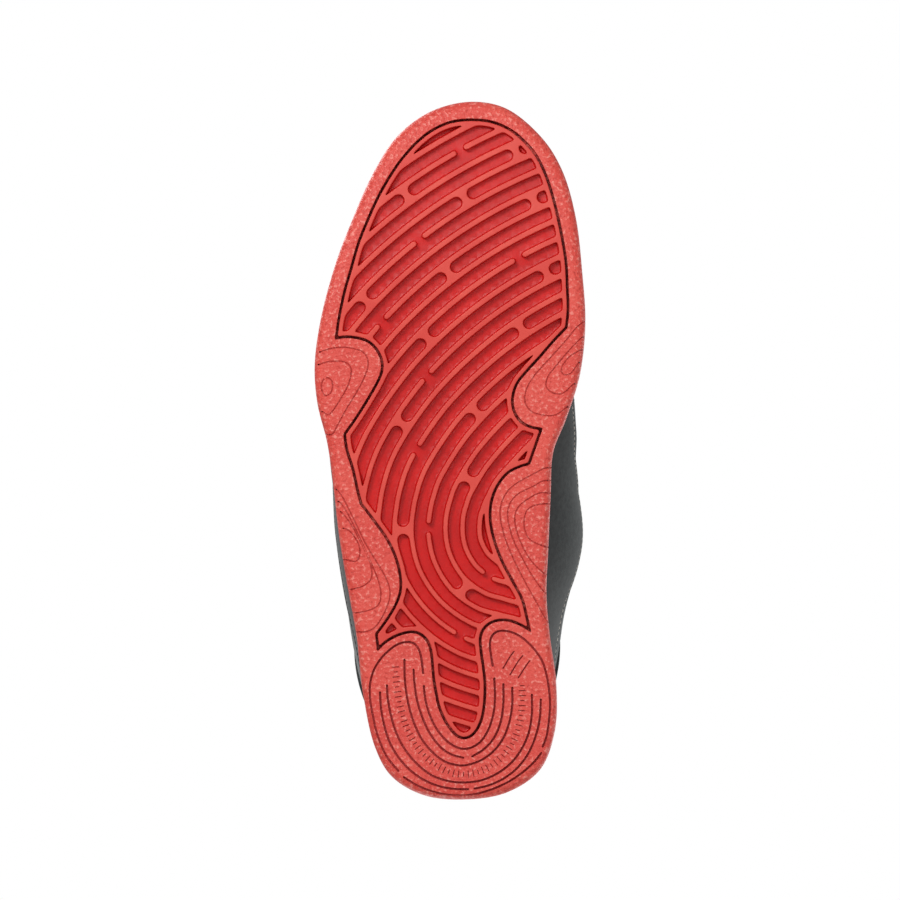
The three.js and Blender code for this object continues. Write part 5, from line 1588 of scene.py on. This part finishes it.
def applyModifier(piece, kind, **settings):
    modifier = piece.modifiers.new("step", kind)
    for key, value in settings.items():
        setattr(modifier, key, value)
    makeActive(piece)
    bpy.ops.object.modifier_apply(modifier=modifier.name)


def meshPoints(mesh):
    points = np.empty(len(mesh.vertices) * 3)
    mesh.vertices.foreach_get("co", points)
    return points.reshape(-1, 3)


def swell(piece, voxel=3.2, pressure=4.0, most=2.2):
    # an even skin, blown up a little, as foam fills out its cover
    faceOutwards(piece)
    applyModifier(piece, "REMESH", mode="VOXEL", voxel_size=voxel / 1000)
    applyModifier(piece, "SMOOTH", factor=0.5, iterations=8)
    before = meshPoints(piece.data)
    cloth = piece.modifiers.new("cloth", "CLOTH")
    cloth.settings.quality = 4
    cloth.settings.use_pressure = True
    cloth.settings.uniform_pressure_force = pressure
    cloth.settings.effector_weights.gravity = 0
    cloth.point_cache.frame_start = 1
    cloth.point_cache.frame_end = 20
    for frameNumber in range(1, 21):
        bpy.context.scene.frame_set(frameNumber)
    evaluated = piece.evaluated_get(bpy.context.evaluated_depsgraph_get())
    moved = meshPoints(evaluated.data) - before
    far = np.linalg.norm(moved, axis=1, keepdims=True)
    moved *= np.minimum(1, most / 1000 / np.maximum(far, 1e-9))
    piece.modifiers.remove(cloth)
    bpy.context.scene.frame_set(1)
    piece.data.vertices.foreach_set("co", (before + moved).ravel())
    piece.data.update()
    applyModifier(piece, "SMOOTH", factor=0.5, iterations=2)
    applyModifier(piece, "SUBSURF", levels=1)
    makeActive(piece)
    bpy.ops.object.shade_smooth()
    print(piece.name, "swollen")


def pressAlong(piece, path, deep, wide):
    # a sewn channel: the skin is drawn in along a path
    path = (np.asarray(path, float) + frameShift) / 1000
    tree = KDTree(len(path))
    for k, point in enumerate(path):
        tree.insert(point, k)
    tree.balance()
    for vertex in piece.data.vertices:
        far = tree.find(vertex.co)[2] * 1000
        if far < 3 * wide:
            vertex.co -= vertex.normal * deep / 1000 * math.exp(-(far / wide) ** 2)
    piece.data.update()


def onSkin(piece, path, outward, lift=0.0):
    # drops a path on to a piece's skin
    tree = BVHTree.FromPolygons([v.co for v in piece.data.vertices],
                                [p.vertices for p in piece.data.polygons])
    found = []
    for point, away in zip(np.asarray(path, float), unit(np.asarray(outward, float))):
        start = Vector((point + frameShift + away * 9) / 1000)
        hit = tree.ray_cast(start, Vector(-away), 0.03)[0]
        found.append(np.array(hit) * 1000 - frameShift + away * lift if hit else point)
    return np.array(found)


# The padded collar and its sewn panels.

collar = {"end": 0.372, "steps": 120,
          # how far down from the rim, and how far outside the upper's face
          "section": [(7, -0.6), (3, 0.2), (0, 0.3), (-2.3, -0.8), (-3.4, -3.6), (-2.6, -6.8),
                      (1, -9.0), (8, -10.3), (16, -10.2), (24, -8.6), (31, -6.2), (36, -4.4),
                      (34, -2.9), (24, -2.5), (14, -2.5)]}


def belowRim(rounds, down, lift):
    index = np.mod(np.asarray(rounds), 2)
    share = np.array([np.interp(lengths[-1] - down, lengths, latticeShares) for lengths in ribLengths])
    point = upperAt(index, byRound(share)(index), np.full(np.shape(index), float(lift)))
    if down < 0:
        rise = unit(upperAt(index, 1.0) - upperAt(index, 0.97))
        point = point + rise * -down
    return point


def makeCollar():
    rounds = np.linspace(-collar["end"], collar["end"], collar["steps"])
    rows = np.stack([belowRim(rounds, *spot) for spot in collar["section"]], 1)
    middle = rows.mean(1, keepdims=True)
    run = np.concatenate([[0], np.cumsum(np.linalg.norm(np.diff(middle[:, 0], axis=0), axis=1))])
    far = np.minimum(run, run[-1] - run)
    keep = np.sqrt(1 - (1 - np.clip(far / 5, 0, 1)) ** 2) * 0.9 + 0.1
    rows = middle + (rows - middle) * keep[:, None, None]
    m, n = rows.shape[:2]
    faces = [(i * n + j, (i + 1) * n + j, (i + 1) * n + (j + 1) % n, i * n + (j + 1) % n)
             for i in range(m - 1) for j in range(n)]
    faces += [tuple(range(n)), tuple((m - 1) * n + j for j in reversed(range(n)))]
    pad = newPiece("collarPad", rows.reshape(-1, 3), faces, knit, "shoe",
                   ["collar_foam_lateral", "collar_foam_medial"], angle=0)
    swell(pad, voxel=2.8, most=1.6)
    t = np.linspace(-0.355, 0.355, 400)
    for down in (13, 25):
        pressAlong(pad, belowRim(t, down, -10.6), 1.1, 1.5)
    for label, side in sides.items():
        low = shareAtHeight(np.asarray(readKeys([[0.03, 112], [0.2, 103], [0.37, 112]],
                                                ribOf(latticeRounds))))
        high = shareBelow(lambda r: 1.0, 1.4)
        place = sidePlace(side, 0.034, 0.37, low, high)
        sewnPanel("collarPanel" + label, place, (105, 38), shell["overlay"] - 0.1, 1.7, collarLeather,
                  ["collar_panel_" + label.lower()], valley=0.3)
        stitchEdge(place, "low", shell["overlay"] + 1.42)
        stitchEdge(place, "end", shell["overlay"] + 1.42, ("dark",))
        rib = np.linspace(0.045, 0.36, 160)
        for down in (3.6, 16):
            spot = shareBelow(lambda r: 1.0, down)
            sewOnUpper(onSide(side, rib), spot(onSide(side, rib)), shell["overlay"] + 1.55)
    low = shareAtHeight(92 + 0 * footHeights)
    place = sidePlace(1, -0.03, 0.03, low, lambda r: 1.0 + 0 * r)
    sewnPanel("heelTab", place, (14, 56), 0.4, 1.7, webbingWeave, ["heel_tab"], spacing=1.4)
    for which in ("low", "start", "end"):
        stitchEdge(place, which, 2.0, ("dark",))
    print("collar")


def makeLining():
    depth = lambda rib: readKeys([[0, 3.4], [0.3, 3.0], [0.42, 2.1], [0.7, 2.1], [0.8, 3.4], [1, 3.4]], rib)
    under = shareBelow(lambda r: 1.0, 30.0)
    top = lambda r: np.where(ribOf(r) < 0.40, under(r), slotShare(r))
    front = upper["throatBase"] + 0.008
    for name, start, end, high, nodes in (
            ("liningLateral", 0, front, top, ["lining_lateral"]),
            ("liningMedial", 2, 2 - front, top, ["lining_medial"]),
            ("vampLining", front - 0.016, 2.016 - front, lambda r: 1.0 + 0 * r, ["vamp_lining"])):
        t, s = np.meshgrid(np.linspace(0, 1, 90), np.linspace(0, 1, 40), indexing="ij")
        rounds = start + (end - start) * t
        low = 0.135
        shares = low + (high(np.mod(rounds, 2)) - low) * s
        deep = depth(ribOf(rounds)) + (0.15 if name == "vampLining" else 0)
        outer = upperAt(rounds, shares, -deep)
        inner = upperAt(rounds, shares, -deep - 1.1)
        points, faces = closedSheet(outer, inner)
        piece = newPiece(name, points, faces, knit, "shoe", nodes, angle=0)
        faceOutwards(piece)
        bpy.ops.object.shade_smooth_by_angle(angle=math.radians(50))


# Tongue: one padded piece, shaped with a bend at the fold height.

tongue = {"depth": 10.6, "thick": 8.4, "steps": 90, "across": 31, "fold": 156, "rise": 22}


def widthShare(rounds, width):
    i = int(round(float(np.mod(rounds, 2)) * upper["ribs"])) % len(lattice)
    far = np.abs(lattice[i, :, 0] - readKeys(upper["ridgeOffset"], lattice[i, :, 1]))
    over = np.flatnonzero(far > width)
    j = over[-1] if len(over) else 0
    if j >= upper["steps"]:
        return 1.0
    return (j + (far[j] - width) / max(far[j] - far[j + 1], 1e-6)) / upper["steps"]


def tongueSections(across, depth):
    rows = []
    side = 1 if across >= 0 else -1
    for rib, half in ((0.74, 19), (0.7, 22), (0.65, 25), (0.6, 27), (0.55, 27), (0.51, 27)):
        spot = float(onSide(side, rib))
        rows.append(upperAt(spot, widthShare(spot, abs(across) * half), -depth))
    cx, cy, halfWidth, halfLength = upper["collar"]
    for height, half, lean in ((tongue["fold"] - 16, 23, 4), (tongue["fold"], 26, 0),
                               (tongue["fold"] + tongue["rise"], 23, -1)):
        reach = halfWidth - depth
        turn = across * half / reach
        rows.append([cx + reach * math.sin(turn), cy - (halfLength - depth - lean) * math.cos(turn),
                     height - 1.6 * across * across])
    return np.array([np.ravel(r) for r in rows], float)


def catmull(points, places):
    count = len(points) - 1
    ends = np.vstack([2 * points[0] - points[1], points, 2 * points[-1] - points[-2]])
    at = np.clip(places, 0, 1) * count
    i = np.minimum(at.astype(int), count - 1)
    t = (at - i)[:, None]
    a, b, c, d = (ends[i + k] for k in range(4))
    return 0.5 * (2 * b + (c - a) * t + (2 * a - 5 * b + 4 * c - d) * t ** 2
                  + (3 * b - a - 3 * c + d) * t ** 3)


def tongueAt(places, across, depth):
    # a grid of points: places along the tongue, and from -1 to 1 across it
    return np.stack([catmull(tongueSections(a, depth), np.asarray(places)) for a in across], 1)


def makeTongue():
    places = np.linspace(0, 1, tongue["steps"])
    across = np.linspace(-1, 1, tongue["across"])
    near, far = (tongueAt(places, across, tongue["depth"] + d) for d in (0, tongue["thick"]))
    corner = (smoothStep(places, 0.86, 1)[:, None]
              * np.clip((np.abs(across) - 0.5) / 0.5, 0, 1)[None, :] ** 2 * 11)
    near[:, :, 2] -= corner
    far[:, :, 2] -= corner
    edge = np.minimum((1 - np.abs(across))[None, :] * 26, (1 - places)[:, None] * 190) / 5
    full = np.sqrt(1 - (1 - np.clip(edge, 0, 1)) ** 2)[:, :, None]
    middle = (near + far) / 2
    full = 0.16 + 0.66 * full
    points, faces = closedSheet(middle + (near - middle) * full, middle + (far - middle) * full)
    piece = newPiece("tonguePad", points, faces, collarLeather, None,
                     ["tongue_face", "tongue_foam", "tongue_lining", "tongue_top_face",
                      "tongue_top_foam", "tongue_top_lining"], angle=0)
    swell(piece, voxel=2.8, most=1.5)
    lines = []
    for place in (0.80, 0.862, 0.975):
        v = np.linspace(-0.86, 0.86, 90)
        lines.append((tongueAt([place], v, tongue["depth"])[0],
                      tongueAt([place], v, tongue["depth"])[0] - tongueAt([place], v, tongue["depth"] + 4)[0]))
    for side in (-0.82, 0.82):
        u = np.linspace(0.25, 0.975, 220)
        path = tongueAt(u, [side], tongue["depth"])[:, 0]
        lines.append((path, path - tongueAt(u, [side], tongue["depth"] + 4)[:, 0]))
    for k, (path, away) in enumerate(lines):
        pressAlong(piece, onSkin(piece, path, away), 0.9 if k != 1 else 0.6, 1.3)
    for path, away in lines:
        skin = onSkin(piece, path, away, 0.05)
        above = skin[:, 2] > tongue["fold"] + 1
        for part, ride in ((above, "top"), (~above, "")):
            if part.sum() > 4:
                sewAlong(skin[part], away[part], "dark", ride=ride)
    # a plain sewn patch on the part that stands above the collar
    u, v = np.linspace(0.895, 0.96, 22), np.linspace(-0.5, 0.5, 26)
    grid = tongueAt(u, v, tongue["depth"])
    away = grid - tongueAt(u, v, tongue["depth"] + 4)
    skin = onSkin(piece, grid.reshape(-1, 3), away.reshape(-1, 3)).reshape(grid.shape)
    rim = np.minimum(np.minimum.outer(np.arange(22), np.arange(26)),
                     np.minimum.outer(np.arange(22)[::-1], np.arange(26)[::-1]))
    crown = (0.55 + 0.75 * np.clip(rim / 2.5, 0, 1) - 0.3 * (rim == 3))[:, :, None]
    points, faces = closedSheet(skin + unit(away) * crown, skin - unit(away) * 0.5)
    patch = newPiece("tonguePatch", points, faces, overlayLeather, "tongue_top",
                     angle=0)
    faceOutwards(patch)
    bpy.ops.object.shade_smooth_by_angle(angle=math.radians(50))
    for rows, columns in ((slice(2, 3), slice(2, 24)), (slice(19, 20), slice(2, 24)),
                          (slice(2, 20), slice(2, 3)), (slice(2, 20), slice(23, 24))):
        out = unit(away[rows, columns].reshape(-1, 3))
        sewAlong(skin[rows, columns].reshape(-1, 3) + out * 1.15, out, "light", pitch=2.2,
                 radius=0.26, ride="top")
    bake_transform(piece)
    print("tongue")


# Eyelets and lace.

lacing = {"rows": 7, "back": 0.478, "front": 0.643, "fromEdge": 8.0, "width": 5.4, "thick": 1.7,
          "holeWidth": 3.4, "segments": 28,
          "ring": [(2.1, -3.2), (2.1, 2.0), (2.45, 2.55), (3.1, 2.8), (3.75, 2.5), (4.1, 1.95),
                   (4.0, 1.7), (2.5, 1.65), (2.5, -3.2)]}


def eyeletFrame(side, row):
    rib = lacing["front"] + (lacing["back"] - lacing["front"]) * row / (lacing["rows"] - 1)
    spot = float(onSide(side, rib))
    share = float(shareBelow(slotShare, lacing["fromEdge"])(spot))
    centre = upperAt(spot, share)
    normal = unit(upperAt(spot, share, 1.0) - centre)
    edge = upperAt(spot, float(slotShare(spot)))
    towards = edge - centre
    towards = unit(towards - normal * towards.dot(normal))
    return centre, normal, towards, np.cross(normal, towards)


def makeLacing():
    points, faces = [], []
    for row in range(lacing["rows"]):
        ends = []
        for label, side in sides.items():
            centre, normal, towards, along = eyeletFrame(side, row)
            ring = []
            for k in range(lacing["segments"]):
                turn = 2 * math.pi * k / lacing["segments"]
                radial = towards * math.cos(turn) + along * math.sin(turn)
                ring += [centre + radial * r + normal * h for r, h in lacing["ring"]]
            size, count = len(lacing["ring"]), lacing["segments"]
            ringFacesList = [(k * size + j, k * size + (j + 1) % size,
                              (k + 1) % count * size + (j + 1) % size, (k + 1) % count * size + j)
                             for k in range(count) for j in range(size)]
            eyelet = newPiece(f"eyelet{label}{row + 1}", ring, ringFacesList, enamel, "shoe",
                              [f"eyelet_{label.lower()}_{row + 1}"], angle=0)
            faceOutwards(eyelet)
            bpy.ops.object.shade_smooth_by_angle(angle=math.radians(40))
            ends.append((centre, normal, towards, along))
        halves = []
        for centre, normal, towards, along in ends:
            halves.append([centre + normal * n + towards * t for n, t in (
                (-4.5, -0.6), (-1.0, -0.3), (1.8, 0.1), (3.2, 1.0), (4.0, 3.2), (3.7, 7.5))])
        middle = (halves[0][-1] + halves[1][-1]) / 2 + unit(ends[0][1] + ends[1][1]) * 0.9
        path = curveThrough(np.array(halves[0] + [middle] + halves[1][::-1]), False, 8)
        ahead = unit(np.gradient(path, axis=0))
        along = unit(ends[0][3] - ends[1][3])
        side = unit(along[None, :] - ahead * (ahead @ along)[:, None])
        over = np.cross(ahead, side)
        run = np.concatenate([[0], np.cumsum(np.linalg.norm(np.diff(path, axis=0), axis=1))])
        near = np.minimum(run, run[-1] - run)
        wide = lacing["holeWidth"] + (lacing["width"] - lacing["holeWidth"]) * smoothStep(near, 7, 12)
        thick = lacing["thick"] * (1 + 0.5 * (1 - smoothStep(near, 7, 12)))
        count, start = 14, len(points)
        for p, s, o, w, h in zip(path, side, over, wide / 2, thick / 2):
            for k in range(count):
                turn = 2 * math.pi * k / count
                c, q = math.cos(turn), math.sin(turn)
                points.append(p + s * w * math.copysign(abs(c) ** 0.6, c)
                              + o * h * math.copysign(abs(q) ** 0.7, q))
        for i in range(len(path) - 1):
            faces += ringFaces(start + i * count, start + (i + 1) * count, count)
        faces.append(tuple(start + k for k in reversed(range(count))))
        faces.append(tuple(start + (len(path) - 1) * count + k for k in range(count)))
    lace = newPiece("lace", points, faces, laceWeave, "shoe", ["lace"], angle=0)
    faceOutwards(lace)
    bpy.ops.object.shade_smooth_by_angle(angle=math.radians(60))
    print("lace and eyelets")


# Pull loop.

def makePullLoop():
    low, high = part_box("heel_pull_loop")
    low, high = (np.array(c) * 1000 - frameShift for c in (low, high))
    middle = (low + high) / 2
    wide, deep, tall, thick = high[0] - low[0], high[1] - low[1], high[2] - low[2], 1.7
    bend = deep / 2 - thick / 2
    straight = tall / 2 - deep / 2
    path = []
    for sign in (1, -1):
        for turn in np.linspace(0, math.pi, 18):
            path.append((sign * bend * math.cos(turn), sign * (straight + bend * math.sin(turn))))
        for t in np.linspace(0, 1, 8)[1:-1]:
            path.append((-sign * bend, sign * straight * (1 - 2 * t)))
    path = np.array(path)
    ahead = unit(np.roll(path, -1, 0) - np.roll(path, 1, 0))
    out = np.stack([ahead[:, 1], -ahead[:, 0]], -1)
    profile = [(-1, -0.62), (-0.97, -1), (0, -1), (0.97, -1), (1, -0.62), (1, 0.62), (0.97, 1),
               (0.5, 1.0), (0, 1.06), (-0.5, 1.0), (-0.97, 1), (-1, 0.62)]
    points = [(middle[0] + a * wide / 2, middle[1] + p[0] + o[0] * b * thick / 2,
               middle[2] + p[1] + o[1] * b * thick / 2)
              for p, o in zip(path, out) for a, b in profile]
    size, count = len(profile), len(path)
    faces = [(i * size + j, i * size + (j + 1) % size, (i + 1) % count * size + (j + 1) % size,
              (i + 1) % count * size + j) for i in range(count) for j in range(size)]
    loop = newPiece("pullLoop", points, faces, webbingWeave, "pull_loop",
                    ["heel_pull_loop"], angle=0)
    faceOutwards(loop)
    bpy.ops.object.shade_smooth_by_angle(angle=math.radians(50))
    print("pull loop")


# Parts inside, and the floor.

def dressHidden():
    foam = makePlain("compressionMouldedFoam", "#b9b4a8", "#d8d4ca", 0.8)
    board = makePlain("strobelBoard", "#8d8676", "#aaa391", 0.9)
    sheet = makePlain("thermoplasticSheet", "#9b9788", "#c2beae", 0.6)
    steel = makePlain("springSteel", "#6f7375", "#8d9193", 0.35)
    sock = makeWeave("sockliningKnit", "#232728", "#3d4343", 1.3)
    for names, material in ((["midsole"], foam), (("strobel_board",), board),
                            (("toe_puff", "heel_counter"), sheet), (("shank",), steel),
                            (("sockliner",), sock)):
        for name in names:
            for holder in [frame["nodes"][name]] + list(frame["nodes"][name].children):
                for place in getattr(holder, "material_slots", []):
                    place.material = material


def makeFloor():
    # a pale glowing floor seen only from above, with a painted shadow where the shoe stands close to it
    material = bpy.data.materials.new("paleFloor")
    material.use_nodes = True
    tree = material.node_tree
    tree.nodes.remove(tree.nodes["Principled BSDF"])
    # painted contact shadow: the floor's glow dims by ambient occlusion near the shoe
    near = addNode(tree, "ShaderNodeAmbientOcclusion", {"samples": 8, "Distance": 0.16})
    shade = addNode(tree, "ShaderNodeMapRange", {1: 0.0, 2: 1.0, 3: 0.42, 4: 1.0},
                    {0: near.outputs["AO"]})
    glow = addNode(tree, "ShaderNodeEmission", {"Color": (1, 1, 1, 1)},
                   {"Strength": shade.outputs[0]})
    clear = addNode(tree, "ShaderNodeBsdfTransparent")
    seenFrom = addNode(tree, "ShaderNodeNewGeometry")
    mix = addNode(tree, "ShaderNodeMixShader", {},
                  {0: seenFrom.outputs["Backfacing"], 1: glow.outputs[0], 2: clear.outputs[0]})
    tree.links.new(mix.outputs[0], tree.nodes["Material Output"].inputs[0])
    bpy.ops.mesh.primitive_plane_add(size=6, location=(0, 0, cadBox[0][2] - 0.0005))
    floor = bpy.context.object
    floor.name = "floor"
    floor.data.materials.append(material)
    floor.visible_diffuse = floor.visible_glossy = floor.visible_shadow = False


makeCollar()
makeLining()
makeTongue()
makeLacing()
makePullLoop()
dressHidden()
makeFloor()
finishSeams()


# Light, floor and camera.

studio = {
    "fieldOfView": 0.3857, "distance": 3.2,
    # name, place, size, power, aims at
    "lamps": [("keyBelow", (-0.75, -0.9, -1.3), 0.5, 15, (0, 0, 0)),
              ("toeGlossBelow", (-0.25, -0.75, -1.5), 0.5, 5, (0, -0.08, 0)),
              ("fillBelow", (0.9, 0.6, -1.4), 1.2, 5, (0, 0, 0)),
              ("keyAbove", (-0.9, -0.8, 1.5), 0.9, 16, (0, 0, 0.05)),
              ("fillAbove", (1.1, 0.5, 1.2), 1.4, 12, (0, 0, 0.05)),
              ("rimAbove", (-0.3, 1.3, 1.0), 0.9, 10, (0, 0, 0.08))],
}
scene = bpy.context.scene
scene.view_settings.view_transform = "Standard"
world = bpy.data.worlds.new("studio")
scene.world = world
world.use_nodes = True
worldTree = world.node_tree
seen = addNode(worldTree, "ShaderNodeLightPath")
strength = addNode(worldTree, "ShaderNodeMapRange", {3: 0.42, 4: 1.0}, {0: seen.outputs["Is Camera Ray"]})
sky = worldTree.nodes["Background"]
sky.inputs[0].default_value = (1, 1, 1, 1)
worldTree.links.new(strength.outputs[0], sky.inputs[1])
for name, place, size, power, aim in studio["lamps"]:
    lamp = bpy.data.lights.new(name, "AREA")
    lamp.shape = "DISK"
    lamp.size = size
    lamp.energy = power
    lampObject = bpy.data.objects.new(name, lamp)
    scene.collection.objects.link(lampObject)
    lampObject.location = place
    towards = Vector(aim) - Vector(place)
    lampObject.rotation_euler = towards.to_track_quat("-Z", "Y").to_euler()
camera = bpy.data.objects.new("camera", bpy.data.cameras.new("camera"))
scene.collection.objects.link(camera)
camera.location = (0, 0, -studio["distance"])
camera.rotation_euler = (math.pi, 0, 0)
camera.data.lens = 36 * studio["distance"] / studio["fieldOfView"]
camera.data.sensor_width = 36
camera.data.clip_end = 20
scene.camera = camera
